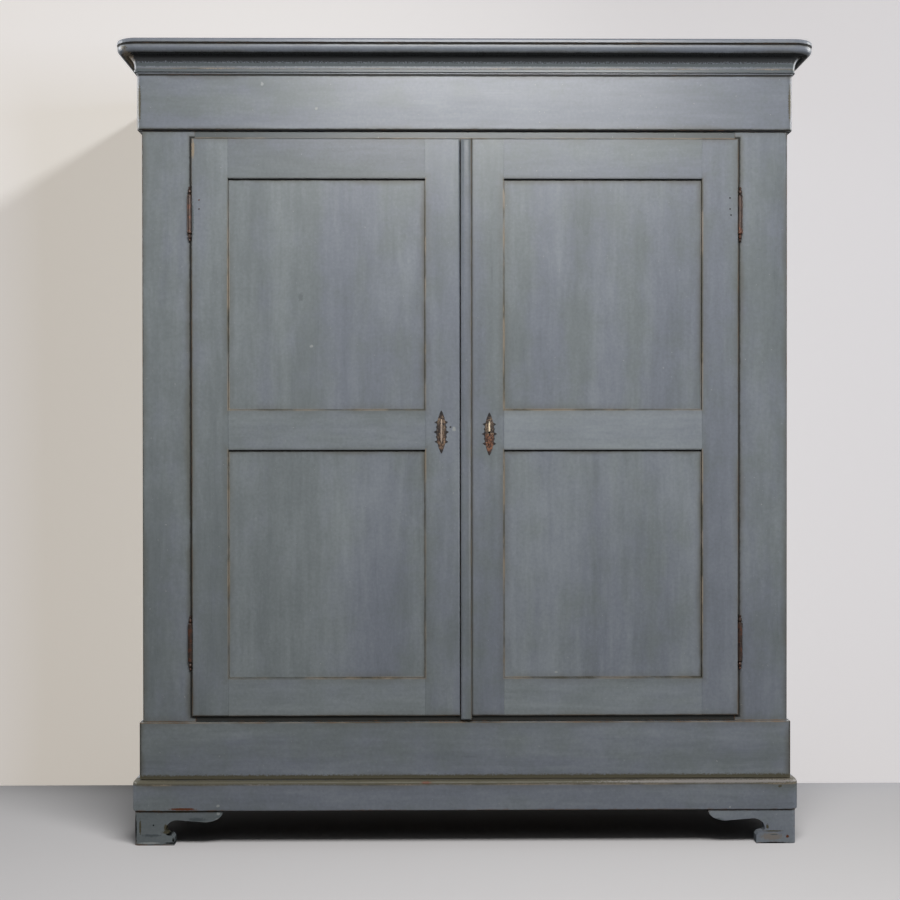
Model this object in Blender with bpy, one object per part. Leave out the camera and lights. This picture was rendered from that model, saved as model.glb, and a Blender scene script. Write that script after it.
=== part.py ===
"""Painted two-door cupboard: a footed base box, a carcass with two framed doors and a lift-off cornice.

Metres, +Z up. The front faces -Y, and the origin lies on the floor under the middle of the cupboard.
Depths are worked out from the face of the pilasters, and PILASTER_Y puts that face in its place.
"""

import math

import bmesh
import bpy
from mathutils import Matrix, Vector

# Gaps between pieces
CLEAR = 0.0003
DOOR_CLEAR = 0.002
MERGE = 0.000001

# Heights, from the floor up
FOOT_HEIGHT = 0.0862
PLINTH_HEIGHT = 0.0752
BASE_HEIGHT = 0.1426
CARCASS_HEIGHT = 1.4778
FRIEZE_HEIGHT = 0.1393
CROWN_HEIGHT = 0.0651
CAP_THICKNESS = 0.012

# Carcass
BODY_WIDTH = 1.6165
BODY_DEPTH = 0.560
SIDE_THICKNESS = 0.022
PILASTER_WIDTH = 0.132
PILASTER_THICKNESS = 0.024
PILASTER_ROUND = 0.004
RAIL_THICKNESS = 0.0175
HEAD_RAIL_HEIGHT = 0.0267
SILL_RAIL_HEIGHT = 0.0230
BACK_THICKNESS = 0.014
BACK_BOARDS = 9
BACK_GROOVE = 0.004
CEILING_THICKNESS = 0.018
FLOOR_THICKNESS = 0.018
FLOOR_LEDGE = 0.012
FLOOR_FIELD = 0.004

# Shelves
SHELVES = ("shelf_lower", "shelf_middle", "shelf_upper")
SHELF_THICKNESS = 0.020
SHELF_SETBACK = 0.065
SHELF_NOSING = 0.004
SHELF_TONGUE = 0.012
DADO_DEPTH = 0.008

# How far each storey stands proud of the pilasters, in front and at the sides
FRIEZE_PROUD = 0.011
BASE_PROUD = 0.008
PLINTH_PROUD = 0.024
FOOT_PROUD = 0.018

# Boards of the cornice and the base
FRIEZE_THICKNESS = 0.022
FRIEZE_ROUND = 0.014
BASE_THICKNESS = 0.024
BASE_ROUND = 0.008
PLINTH_THICKNESS = 0.042
PLINTH_ROUND = 0.022
PLINTH_TOP_ROUND = 0.010
EASE = 0.0015
CORNER_STEPS = 7

# Crown moulding: how far each part of its profile reaches out from the frieze
CROWN_REACH = 0.048
CROWN_FASCIA = 0.0085
CROWN_FASCIA_SETBACK = 0.001
OVOLO_REACH = 0.021
OVOLO_HEIGHT = 0.0150
QUIRK = 0.002
CAVETTO_REACH = 0.019
CAVETTO_HEIGHT = 0.0330
FILLET_REACH = 0.0065
FILLET_HEIGHT = 0.0060
CROWN_FOOT_REACH = 0.001
CROWN_INSIDE = 0.0085
CROWN_STEPS = 7
CAP_CORNER = 0.056
CAP_NOSING = 0.005

# Feet: the ogee cut under each bracket
FOOT_THICKNESS = 0.030
FOOT_BACK_THICKNESS = 0.042
FOOT_LENGTH = 0.221
FOOT_ROUND = 0.010
TOE_WIDTH = 0.099
TOE_HEIGHT = 0.020
TOE_STEP = 0.0265
TOE_STEP_WIDTH = 0.0935
SCROLL_WIDTH = 0.0855
SCROLL_HEIGHT = 0.0375
SCROLL_RADIUS = 0.008
COVE_WIDTH = 0.106
COVE_TOP = 0.063
LOBE_WIDTH = 0.176
LOBE_BOTTOM = 0.0575

# Doors
DOOR_PROUD = 0.010
DOOR_THICKNESS = 0.026
DOOR_LIP = 0.008
DOOR_EDGE_ROUND = 0.004
MEETING_GAP = 0.002
MEETING_OFFSET = -0.013
STILE_WIDTH = 0.092
LEFT_MEETING_STILE = 0.087
RIGHT_MEETING_STILE = 0.108
TOP_RAIL_HEIGHT = 0.101
MID_RAIL_HEIGHT = 0.100
BOTTOM_RAIL_HEIGHT = 0.095
MID_RAIL_ABOVE_SILL = 0.666
PANEL_RECESS = 0.008
PANEL_GROOVE = 0.008
GROOVE_SETBACK = 0.010
GROOVE_DEPTH = 0.010
PANEL_THICKNESS = 0.014
PANEL_SHADOW_GAP = 0.0008

# Astragal on the meeting edge of the right door
ASTRAGAL_WIDTH = 0.028
ASTRAGAL_REACH = 0.008
ASTRAGAL_TOP_SETBACK = 0.0035
ASTRAGAL_DROP = 0.009
ASTRAGAL_END_ROUND = 0.0032
ASTRAGAL_END_SHARE = 0.55
ASTRAGAL_STEPS = 8

# Hinges: a turned barrel in two halves, each with a finial and a leaf let into the wood.
# The finial's turns are shares of its height and of the barrel's radius.
BARREL_RADIUS = 0.0063
BARREL_HALF = 0.047
FINIAL_HEIGHT = 0.0225
FINIAL_LOWER_TURNS = ((0.0, 1.0), (0.06, 0.8), (0.16, 0.5), (0.34, 0.76))
FINIAL_UPPER_TURNS = ((0.52, 0.69), (0.66, 0.36), (0.84, 0.5), (1.0, 0.0))
PIN_RADIUS = 0.0029
PIN_LENGTH = 0.034
PIN_CLEAR = 0.0002
HINGE_OUTSIDE_DOOR = 0.004
HINGE_SEAT = 0.0005
LEAF_THICKNESS = 0.002
LEAF_HEIGHT = 0.032
FRAME_LEAF_DEPTH = 0.018
DOOR_LEAF_WIDTH = 0.024
HINGE_SEGMENTS = 12
UPPER_HINGE_BELOW_DOOR_TOP = 0.190
LOWER_HINGE_ABOVE_DOOR_BOTTOM = 0.183

# Escutcheons: a barb is (place in spacings from the middle, share of a spike)
LEAF_PLATE_HEIGHT = 0.108
LEAF_PLATE_HALF_WIDTH = 0.0125
LEAF_PLATE_SPIKE = 0.0065
LEAF_PLATE_SPIKE_HEIGHT = 0.004
LEAF_PLATE_SPACING = 0.0245
LEAF_PLATE_BARBS = ((-1.0, 1.0), (-0.5, 0.35), (0.0, 1.0), (0.5, 0.35), (1.0, 1.0))
LEAF_PLATE_THICKNESS = 0.0012
LEAF_BOSS_THICKNESS = 0.0016
LEAF_BOSS_SHARE = 0.62
LEAF_BOSS_TOP_SHARE = 0.37
LEAF_PLATE_FULLNESS = 0.75
LEAF_PLATE_TIP_SHARES = (0.66, 0.82, 0.93)
KEYHOLE_ABOVE_SILL = 0.7056
LEFT_ESCUTCHEON_RISE = 0.005
LEFT_ESCUTCHEON_FROM_EDGE = 0.0465
KEYHOLE_FROM_EDGE = 0.0715
KEYHOLE_RADIUS = 0.0026
KEYHOLE_SLOT = 0.0026
KEYHOLE_HEIGHT = 0.013
KEYHOLE_DEPTH = 0.014

# Rim lock on the back of the right door
LOCK_WIDTH = 0.100
LOCK_HEIGHT = 0.075
LOCK_THICKNESS = 0.016
LOCK_WALL = 0.002
LOCK_EDGE_SETBACK = 0.001
LOCK_BOLT_HEIGHT = 0.024
LOCK_BOLT_THICKNESS = 0.008
LOCK_BOLT_LENGTH = 0.060
LOCK_BOLT_OFF_DOOR = 0.002

# Barrel bolts on the back of the left door
BOLT_PLATE_WIDTH = 0.032
BOLT_PLATE_LENGTH = 0.120
BOLT_PLATE_THICKNESS = 0.002
BOLT_ROD_RADIUS = 0.004
BOLT_ROD_CLEAR = 0.0005
BOLT_ROD_LENGTH = 0.140
BOLT_KEEPER_LENGTH = 0.014
BOLT_KEEPER_WIDTH = 0.018
BOLT_KEEPER_WALL = 0.002
BOLT_FROM_EDGE = 0.040
BOLT_BELOW_OPENING = 0.009
BOLT_KNOB_RADIUS = 0.0035
BOLT_KNOB_REACH = 0.016

# Levels worked out from the heights
PLINTH_Z = FOOT_HEIGHT + CLEAR
BASE_Z = PLINTH_Z + PLINTH_HEIGHT + CLEAR
CARCASS_Z = BASE_Z + BASE_HEIGHT + CLEAR
CARCASS_TOP = CARCASS_Z + CARCASS_HEIGHT
FRIEZE_Z = CARCASS_TOP + CLEAR
CROWN_Z = FRIEZE_Z + FRIEZE_HEIGHT + CLEAR
CROWN_TOP = CROWN_Z + CROWN_HEIGHT
CAP_Z = CROWN_TOP + CLEAR

# Opening of the carcass, and the doors that lap over it
OPENING_LOW = CARCASS_Z + SILL_RAIL_HEIGHT
OPENING_HIGH = CARCASS_TOP - HEAD_RAIL_HEIGHT
OPENING_HALF = BODY_WIDTH / 2 - PILASTER_WIDTH
DOOR_LOW = OPENING_LOW - DOOR_LIP
DOOR_HIGH = OPENING_HIGH + DOOR_LIP
DOOR_OUTER = OPENING_HALF + DOOR_LIP
DOOR_FRONT = -DOOR_PROUD
DOOR_BACK = DOOR_FRONT + DOOR_THICKNESS
LIP_BACK = -CLEAR

# Body faces, seen from above
BODY_HALF = BODY_WIDTH / 2
SIDE_INNER = BODY_HALF - SIDE_THICKNESS
FRIEZE_HALF = BODY_HALF + FRIEZE_PROUD
BASE_HALF = BODY_HALF + BASE_PROUD
PLINTH_HALF = BODY_HALF + PLINTH_PROUD
FOOT_HALF = BODY_HALF + FOOT_PROUD
CAP_FRONT = -(FRIEZE_PROUD + CROWN_REACH)
PILASTER_Y = -(BODY_DEPTH + CAP_FRONT) / 2
HINGE_X = DOOR_OUTER + HINGE_OUTSIDE_DOOR
HINGE_Y = -(BARREL_RADIUS + CLEAR)
LEFT_DOOR_EDGE = MEETING_OFFSET - MEETING_GAP / 2
RIGHT_DOOR_EDGE = MEETING_OFFSET + MEETING_GAP / 2

# Finishes: base colour, roughness and metallic value
FINISHES = {
    "paint": ((0.170, 0.190, 0.200), 0.50, 0.0),
    "bare_wood": ((0.330, 0.225, 0.135), 0.75, 0.0),
    "iron": ((0.075, 0.048, 0.035), 0.55, 0.8),
    "brass": ((0.300, 0.200, 0.105), 0.45, 0.9),
}


def clear_scene():
    for item in list(bpy.data.objects):
        bpy.data.objects.remove(item, do_unlink=True)


def finish_of(name, finish):
    """A Principled material of the piece's own, in one of the cupboard's finishes."""
    colour, roughness, metallic = FINISHES[finish]
    material = bpy.data.materials.new(f"{name}_{finish}")
    material.use_nodes = True
    shader = material.node_tree.nodes["Principled BSDF"]
    shader.inputs["Base Color"].default_value = (*colour, 1.0)
    shader.inputs["Roughness"].default_value = roughness
    shader.inputs["Metallic"].default_value = metallic
    return material


def add_piece(name, shape, finish, axis=None):
    """Turns a bmesh into a named object; a moving piece hangs from the empty on its axis."""
    bmesh.ops.remove_doubles(shape, verts=shape.verts, dist=MERGE)
    bmesh.ops.dissolve_degenerate(shape, edges=shape.edges, dist=MERGE)
    bmesh.ops.recalc_face_normals(shape, faces=shape.faces)
    bmesh.ops.translate(shape, verts=shape.verts, vec=(0.0, PILASTER_Y, 0.0))
    mesh = bpy.data.meshes.new(name)
    shape.to_mesh(mesh)
    shape.free()
    piece = bpy.data.objects.new(name, mesh)
    bpy.context.scene.collection.objects.link(piece)
    if finish:
        mesh.materials.append(finish_of(name, finish))
    if axis:
        piece.parent = axis
        piece.matrix_parent_inverse = Matrix.Translation(-axis.location)
    return piece


def add_helper(name, shape):
    """A solid that only cuts or joins another, and isn't a piece of the cupboard."""
    helper = add_piece(name, shape, None)
    helper.hide_render = True
    helper.display_type = "WIRE"
    return helper


def add_axis(name, x, y, z):
    axis = bpy.data.objects.new(name, None)
    axis.location = Vector((x, PILASTER_Y + y, z))
    bpy.context.scene.collection.objects.link(axis)
    return axis


def combine(piece, helper, operation):
    modifier = piece.modifiers.new(helper.name, "BOOLEAN")
    modifier.operation = operation
    modifier.solver = "EXACT"
    modifier.object = helper


def shade_round(piece, angle=40.0):
    piece.data.shade_smooth()
    piece.data.set_sharp_from_angle(angle=math.radians(angle))


def arc(centre, radii, start, end, steps):
    """Points of a round or oval arc, from one angle to the other in degrees."""
    angles = [math.radians(start + (end - start) * step / steps) for step in range(steps + 1)]
    return [(centre[0] + radii[0] * math.cos(a), centre[1] + radii[1] * math.sin(a)) for a in angles]


def loft(outlines):
    """A closed solid: the first outline is filled, then extruded onto each of the others in turn."""
    shape = bmesh.new()
    first = shape.faces.new([shape.verts.new(point) for point in outlines[0]])
    face = first
    for outline in outlines[1:]:
        grown = bmesh.ops.extrude_face_region(shape, geom=[face])["geom"]
        if face is not first:
            shape.faces.remove(face)
        face = next(item for item in grown if isinstance(item, bmesh.types.BMFace))
        for vert, point in zip(face.verts, outline):
            vert.co = point
    return shape


def prism(outline, axis, low, high):
    """A flat outline extruded along X, Y or Z; its points are the two other coordinates in order."""
    place = {
        "X": lambda a, b, level: (level, a, b),
        "Y": lambda a, b, level: (a, level, b),
        "Z": lambda a, b, level: (a, b, level),
    }[axis]
    return loft([[place(a, b, level) for a, b in outline] for level in (low, high)])


def block(x_low, x_high, y_low, y_high, z_low, z_high):
    plan = [(x_low, y_low), (x_high, y_low), (x_high, y_high), (x_low, y_high)]
    return prism(plan, "Z", z_low, z_high)


def eased(shape, width=EASE):
    """Rounds off every sharp edge of a plain board by a small amount."""
    edges = [edge for edge in shape.edges if edge.calc_face_angle(0.0) > math.radians(60)]
    bmesh.ops.bevel(shape, geom=edges, offset=width, segments=1, profile=0.5, affect="EDGES", material=-1)
    return shape


def merged(shapes):
    """One bmesh that holds several separate bodies, for a helper that cuts in several places."""
    whole = bmesh.new()
    for shape in shapes:
        carrier = bpy.data.meshes.new("carrier")
        shape.to_mesh(carrier)
        shape.free()
        whole.from_mesh(carrier)
        bpy.data.meshes.remove(carrier)
    return whole


def spun(profile, x, y, segments):
    """A solid of revolution about the upright axis through x and y; the profile is radius and height."""
    shape = bmesh.new()
    verts = [shape.verts.new((x + radius, y, height)) for radius, height in profile]
    edges = [shape.edges.new(pair) for pair in zip(verts, verts[1:])]
    bmesh.ops.spin(
        shape, geom=verts + edges, cent=(x, y, 0.0), axis=(0.0, 0.0, 1.0), angle=2 * math.pi, steps=segments,
        use_merge=True,
    )
    bmesh.ops.remove_doubles(shape, verts=shape.verts, dist=MERGE)
    return shape


def edge_heights(low, high, low_round, high_round, steps):
    """Heights of a board's outer face with how far it draws in there, rounded at the foot and the head."""
    foot = [(low_round, low), (0.0, low + low_round)]
    head = arc((-high_round, high - high_round), (high_round, high_round), 0.0, 90.0, steps)
    return foot + [(-x, z) for x, z in head]


def front_plan(half, front, back, radius, inset):
    """Plan of a front board with rounded corners, drawn in by the inset at the front and the ends."""
    turn = max(radius - inset, CLEAR)
    side = half - inset
    face = front + inset
    right = arc((side - turn, face + turn), (turn, turn), 0.0, -90.0, CORNER_STEPS)
    left = [(-x, y) for x, y in reversed(right)]
    return [(side, back), *right, *left, (-side, back)]


def front_board(heights, half, front, back, radius, ledge=None):
    """A board across the front; a ledge is (width, height) of a rebate along the top of its back."""
    levels = [(inset, z, back) for inset, z in heights]
    if ledge:
        width, height = ledge
        below = [level for level in levels if level[1] < height]
        above = [(inset, z, back - width) for inset, z, _ in levels if z > height]
        levels = [*below, (0.0, height, back), (0.0, height, back - width), *above]
    plans = [(front_plan(half, front, reach, radius, inset), z) for inset, z, reach in levels]
    return loft([[(x, y, z) for x, y in plan] for plan, z in plans])


def side_board(sign, heights, half, thickness, front, back, ledge=None):
    """A board along one side, with the same edges as the front board that it meets."""
    outer = [(half - inset, z) for inset, z in heights]
    inner = half - thickness
    low, high = heights[0][1], heights[-1][1]
    if ledge:
        rebate = [(inner + ledge[0], high), (inner + ledge[0], ledge[1]), (inner, ledge[1])]
    else:
        rebate = [(inner, high)]
    section = [(sign * x, z) for x, z in [*outer, *rebate, (inner, low)]]
    return prism(section, "Y", front, back)


def add_storey(name, heights, half, front, thickness, radius, ledge=None):
    """Front, left and right boards of one storey, the sides butted against the back of the front."""
    behind = front + thickness
    add_piece(f"{name}_front", front_board(heights, half, front, behind, radius, ledge), "paint")
    for side, sign in (("left", -1), ("right", 1)):
        board = side_board(sign, heights, half, thickness, behind + CLEAR, BODY_DEPTH, ledge)
        add_piece(f"{name}_{side}", board, "paint")


def crown_section():
    """Profile of the crown moulding as (reach, height), from its top down its face and up its back."""
    fascia = CROWN_REACH - CROWN_FASCIA_SETBACK
    fascia_foot = CROWN_TOP - CROWN_FASCIA
    ovolo_centre = (fascia - OVOLO_REACH, fascia_foot)
    ovolo = arc(ovolo_centre, (OVOLO_REACH, OVOLO_HEIGHT), 0.0, -90.0, CROWN_STEPS)
    soffit = fascia - OVOLO_REACH - QUIRK
    hollow_top = fascia_foot - OVOLO_HEIGHT + QUIRK
    hollow_foot = hollow_top - CAVETTO_HEIGHT
    cavetto = arc((soffit, hollow_foot), (CAVETTO_REACH, CAVETTO_HEIGHT), 90.0, 180.0, CROWN_STEPS)
    fillet_top = hollow_foot - QUIRK / 2
    fillet_foot = fillet_top - FILLET_HEIGHT
    fillet = [(FILLET_REACH, fillet_top), (FILLET_REACH, fillet_foot), (CROWN_FOOT_REACH, fillet_foot)]
    foot = [(CROWN_FOOT_REACH, CROWN_Z), (-CROWN_INSIDE, CROWN_Z)]
    return [(-CROWN_INSIDE, CROWN_TOP), (fascia, CROWN_TOP), *ovolo, *cavetto, *fillet, *foot]


def crown_station(section, turned):
    """The profile where the right front corner has turned so many degrees from the front to the side."""
    points = []
    for reach, z in section:
        radius = max(CAP_CORNER - (CROWN_REACH - reach), CLEAR)
        angle = math.radians(turned - 90.0)
        x = FRIEZE_HALF + reach - radius * (1.0 - math.cos(angle))
        y = -FRIEZE_PROUD - reach + radius * (1.0 + math.sin(angle))
        points.append((x, y, z))
    return points


def add_crown():
    """The moulding runs along the front and both sides, mitred at the rounded corners."""
    section = crown_section()
    half_turn = [45.0 * step / CORNER_STEPS for step in range(CORNER_STEPS + 1)]
    right = [crown_station(section, turned) for turned in reversed(half_turn)]
    left = [[(-x, y, z) for x, y, z in station] for station in reversed(right)]
    shade_round(add_piece("crown_front", loft(right + left), "paint"), 30.0)
    mitre = CLEAR * math.sqrt(2)
    corner = [crown_station(section, 45.0 + turned) for turned in half_turn]
    corner.append([(x, BODY_DEPTH - mitre, z) for x, y, z in corner[-1]])
    for side, sign in (("left", -1), ("right", 1)):
        stations = [[(sign * x, y + mitre, z) for x, y, z in station] for station in corner]
        shade_round(add_piece(f"crown_{side}", loft(stations), "paint"), 30.0)


def add_cornice():
    heights = edge_heights(FRIEZE_Z, FRIEZE_Z + FRIEZE_HEIGHT, EASE, EASE, 1)
    add_storey("frieze", heights, FRIEZE_HALF, -FRIEZE_PROUD, FRIEZE_THICKNESS, FRIEZE_ROUND)
    add_crown()
    heights = edge_heights(CAP_Z, CAP_Z + CAP_THICKNESS, EASE, CAP_NOSING, 3)
    cap = front_board(heights, FRIEZE_HALF + CROWN_REACH, CAP_FRONT, BODY_DEPTH, CAP_CORNER)
    add_piece("top_board", cap, "paint")
    inside = FRIEZE_HALF - FRIEZE_THICKNESS - CLEAR
    front = FRIEZE_THICKNESS - FRIEZE_PROUD + CLEAR
    ceiling = block(-inside, inside, front, BODY_DEPTH, FRIEZE_Z, FRIEZE_Z + CEILING_THICKNESS)
    add_piece("ceiling_panel", eased(ceiling), "bare_wood")


def shelf_levels():
    """Underside of each shelf, dividing the carcass evenly."""
    pitch = CARCASS_HEIGHT / (len(SHELVES) + 1)
    return [CARCASS_Z + pitch * (place + 1) - SHELF_THICKNESS / 2 for place in range(len(SHELVES))]


def add_sides():
    """Each side has a dado across its inner face for every shelf."""
    low, high = CARCASS_Z, CARCASS_TOP
    section = [(BODY_HALF, low), (BODY_HALF, high), (SIDE_INNER, high)]
    for level in reversed(shelf_levels()):
        top = level + SHELF_TONGUE + CLEAR
        bottom = level - CLEAR
        deep = SIDE_INNER + DADO_DEPTH
        section += [(SIDE_INNER, top), (deep, top), (deep, bottom), (SIDE_INNER, bottom)]
    section.append((SIDE_INNER, low))
    for side, sign in (("left", -1), ("right", 1)):
        outline = [(sign * x, z) for x, z in section]
        board = prism(outline, "Y", PILASTER_THICKNESS + CLEAR, BODY_DEPTH)
        add_piece(f"{side}_side", board, "paint")


def add_shelves():
    """Each shelf is rebated across its ends, and the tongues that this leaves stand in the dadoes."""
    shoulder = SIDE_INNER - CLEAR
    tip = SIDE_INNER + DADO_DEPTH - CLEAR
    back = BODY_DEPTH - BACK_THICKNESS - CLEAR
    for name, level in zip(SHELVES, shelf_levels()):
        top = level + SHELF_THICKNESS
        centre = (SHELF_SETBACK + SHELF_NOSING, top - SHELF_NOSING)
        nosing = arc(centre, (SHELF_NOSING, SHELF_NOSING), 180.0, 90.0, 3)
        section = [(SHELF_SETBACK, level), *nosing, (back, top), (back, level)]
        tongue = [(y, min(z, level + SHELF_TONGUE)) for y, z in section]
        left = [(-tip, tongue), (-shoulder, tongue), (-shoulder, section)]
        right = [(-x, outline) for x, outline in reversed(left)]
        outlines = [[(x, y, z) for y, z in outline] for x, outline in left + right]
        add_piece(name, loft(outlines), "bare_wood")


def add_back():
    """Upright boards glued edge to edge, with a V groove along each joint on the wall side."""
    half = SIDE_INNER - CLEAR
    inner = BODY_DEPTH - BACK_THICKNESS
    width = 2 * half / BACK_BOARDS
    plan = [(-half, inner), (half, inner), (half, BODY_DEPTH)]
    for joint in range(BACK_BOARDS - 1, 0, -1):
        x = -half + width * joint
        plan.append((x + BACK_GROOVE, BODY_DEPTH))
        plan.append((x, BODY_DEPTH - BACK_GROOVE))
        plan.append((x - BACK_GROOVE, BODY_DEPTH))
    plan.append((-half, BODY_DEPTH))
    add_piece("back_panel", prism(plan, "Z", CARCASS_Z, CARCASS_TOP), "bare_wood")


def hinge_heights():
    return {
        "upper": DOOR_HIGH - UPPER_HINGE_BELOW_DOOR_TOP,
        "lower": DOOR_LOW + LOWER_HINGE_ABOVE_DOOR_BOTTOM,
    }


def frame_leaf(sign, middle, spare):
    """Leaf of the frame half: it runs straight back from the barrel into the pilaster."""
    top = middle - (BARREL_HALF - LEAF_HEIGHT) / 2
    half = LEAF_THICKNESS / 2 + spare
    x_low, x_high = sorted((sign * (HINGE_X - half), sign * (HINGE_X + half)))
    return block(x_low, x_high, HINGE_Y, FRAME_LEAF_DEPTH + spare, top - LEAF_HEIGHT - spare, top + spare)


def door_leaf(sign, middle, spare):
    """Leaf of the door half: from the wall of the barrel, clear of its bore, into the edge of the door."""
    low = middle + (BARREL_HALF - LEAF_HEIGHT) / 2
    half = LEAF_THICKNESS / 2 + spare
    root = HINGE_X - (PIN_RADIUS + BARREL_RADIUS) / 2
    end = HINGE_X - DOOR_LEAF_WIDTH - spare
    x_low, x_high = sorted((sign * end, sign * root))
    return block(x_low, x_high, HINGE_Y - half, HINGE_Y + half, low - spare, low + LEAF_HEIGHT + spare)


def add_pilasters():
    for side, sign in (("left", -1), ("right", 1)):
        centre = (BODY_HALF - PILASTER_ROUND, PILASTER_ROUND)
        turn = arc(centre, (PILASTER_ROUND, PILASTER_ROUND), -90.0, 0.0, 3)
        back = [(BODY_HALF, PILASTER_THICKNESS), (OPENING_HALF, PILASTER_THICKNESS)]
        plan = [(sign * x, y) for x, y in [(OPENING_HALF, 0.0), *turn, *back]]
        post = add_piece(f"{side}_pilaster", prism(plan, "Z", CARCASS_Z, CARCASS_TOP), "paint")
        slots = [frame_leaf(sign, middle, CLEAR) for middle in hinge_heights().values()]
        combine(post, add_helper(f"{side}_leaf_slots", merged(slots)), "DIFFERENCE")


def add_rails():
    half = OPENING_HALF - CLEAR
    rails = {"head_rail": (OPENING_HIGH, CARCASS_TOP), "sill_rail": (CARCASS_Z, OPENING_LOW)}
    for name, (low, high) in rails.items():
        add_piece(name, eased(block(-half, half, 0.0, RAIL_THICKNESS, low, high)), "paint")


def bracket_curve():
    """Ogee under a bracket foot, from the toe up to the plinth, as (distance from the corner, height)."""
    scroll = arc((SCROLL_WIDTH, SCROLL_HEIGHT), (SCROLL_RADIUS, SCROLL_RADIUS), -90.0, -180.0, 4)
    cove_radii = (COVE_WIDTH - SCROLL_WIDTH + SCROLL_RADIUS, COVE_TOP - SCROLL_HEIGHT)
    cove = arc((COVE_WIDTH, SCROLL_HEIGHT), cove_radii, 180.0, 90.0, 6)
    reach = FOOT_LENGTH - LOBE_WIDTH
    lobe = arc((LOBE_WIDTH, FOOT_HEIGHT), (reach, FOOT_HEIGHT - LOBE_BOTTOM), -90.0, 0.0, 6)
    toe = [(TOE_WIDTH, 0.0), (TOE_WIDTH, TOE_HEIGHT), (TOE_STEP_WIDTH, TOE_STEP)]
    return toe + scroll + cove[1:] + lobe


def foot_cutter(name, sign, along_front):
    """What is sawn away under one wing of a front foot."""
    curve = bracket_curve()
    beyond = FOOT_LENGTH + FOOT_THICKNESS
    above = FOOT_HEIGHT + CLEAR
    waste = [(FOOT_LENGTH, above), (beyond, above), (beyond, -FOOT_THICKNESS)]
    void = [(TOE_WIDTH, -FOOT_THICKNESS), *curve, *waste]
    front = -FOOT_PROUD
    if along_front:
        outline = [(sign * (FOOT_HALF - distance), z) for distance, z in void]
        shape = prism(outline, "Y", front - FOOT_THICKNESS, front + 2 * FOOT_THICKNESS)
    else:
        outline = [(front + distance, z) for distance, z in void]
        ends = sorted((sign * (FOOT_HALF - 2 * FOOT_THICKNESS), sign * (FOOT_HALF + FOOT_THICKNESS)))
        shape = prism(outline, "X", *ends)
    return add_helper(name, shape)


def add_feet():
    """Front feet are mitred pairs of brackets; back feet have the side bracket alone."""
    front = -FOOT_PROUD
    inner = FOOT_HALF - FOOT_THICKNESS
    for side, sign in (("left", -1), ("right", 1)):
        turn = arc((FOOT_HALF - FOOT_ROUND, front + FOOT_ROUND), (FOOT_ROUND, FOOT_ROUND), -90.0, 0.0, 4)
        side_wing = [(FOOT_HALF, front + FOOT_LENGTH), (inner, front + FOOT_LENGTH)]
        corner = [(inner, front + FOOT_THICKNESS), (FOOT_HALF - FOOT_LENGTH, front + FOOT_THICKNESS)]
        plan = [(FOOT_HALF - FOOT_LENGTH, front), *turn, *side_wing, *corner]
        plan = [(sign * x, y) for x, y in plan]
        foot = add_piece(f"foot_front_{side}", prism(plan, "Z", 0.0, FOOT_HEIGHT), "paint")
        combine(foot, foot_cutter(f"foot_{side}_front_saw", sign, True), "DIFFERENCE")
        combine(foot, foot_cutter(f"foot_{side}_side_saw", sign, False), "DIFFERENCE")
        bracket = [(0.0, 0.0), *bracket_curve(), (0.0, FOOT_HEIGHT)]
        outline = [(BODY_DEPTH - distance, z) for distance, z in bracket]
        ends = sorted((sign * (FOOT_HALF - FOOT_BACK_THICKNESS), sign * FOOT_HALF))
        add_piece(f"foot_back_{side}", prism(outline, "X", *ends), "paint")


def rectangle(half, front, back, z):
    return [(-half, front, z), (half, front, z), (half, back, z), (-half, back, z)]


def add_floor(low, top):
    """The floor lies on the ledge of the base, and its raised field keeps the carcass in place."""
    half = BASE_HALF - BASE_THICKNESS + FLOOR_LEDGE - CLEAR
    front = BASE_THICKNESS - BASE_PROUD - FLOOR_LEDGE + CLEAR
    field = (SIDE_INNER - CLEAR, PILASTER_THICKNESS + CLEAR, BODY_DEPTH - BACK_THICKNESS - CLEAR)
    outlines = [rectangle(half, front, BODY_DEPTH, z) for z in (low, top)]
    outlines += [rectangle(*field, z) for z in (top, top + FLOOR_FIELD)]
    add_piece("floor_panel", loft(outlines), "bare_wood")


def add_base():
    top = BASE_Z + BASE_HEIGHT
    heights = edge_heights(BASE_Z, top, EASE, EASE, 1)
    floor_low = top - FLOOR_THICKNESS
    ledge = (FLOOR_LEDGE, floor_low - CLEAR)
    add_storey("base", heights, BASE_HALF, -BASE_PROUD, BASE_THICKNESS, BASE_ROUND, ledge)
    add_floor(floor_low, top)
    heights = edge_heights(PLINTH_Z, PLINTH_Z + PLINTH_HEIGHT, EASE, PLINTH_TOP_ROUND, 4)
    add_storey("plinth", heights, PLINTH_HALF, -PLINTH_PROUD, PLINTH_THICKNESS, PLINTH_ROUND)
    add_feet()


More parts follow.
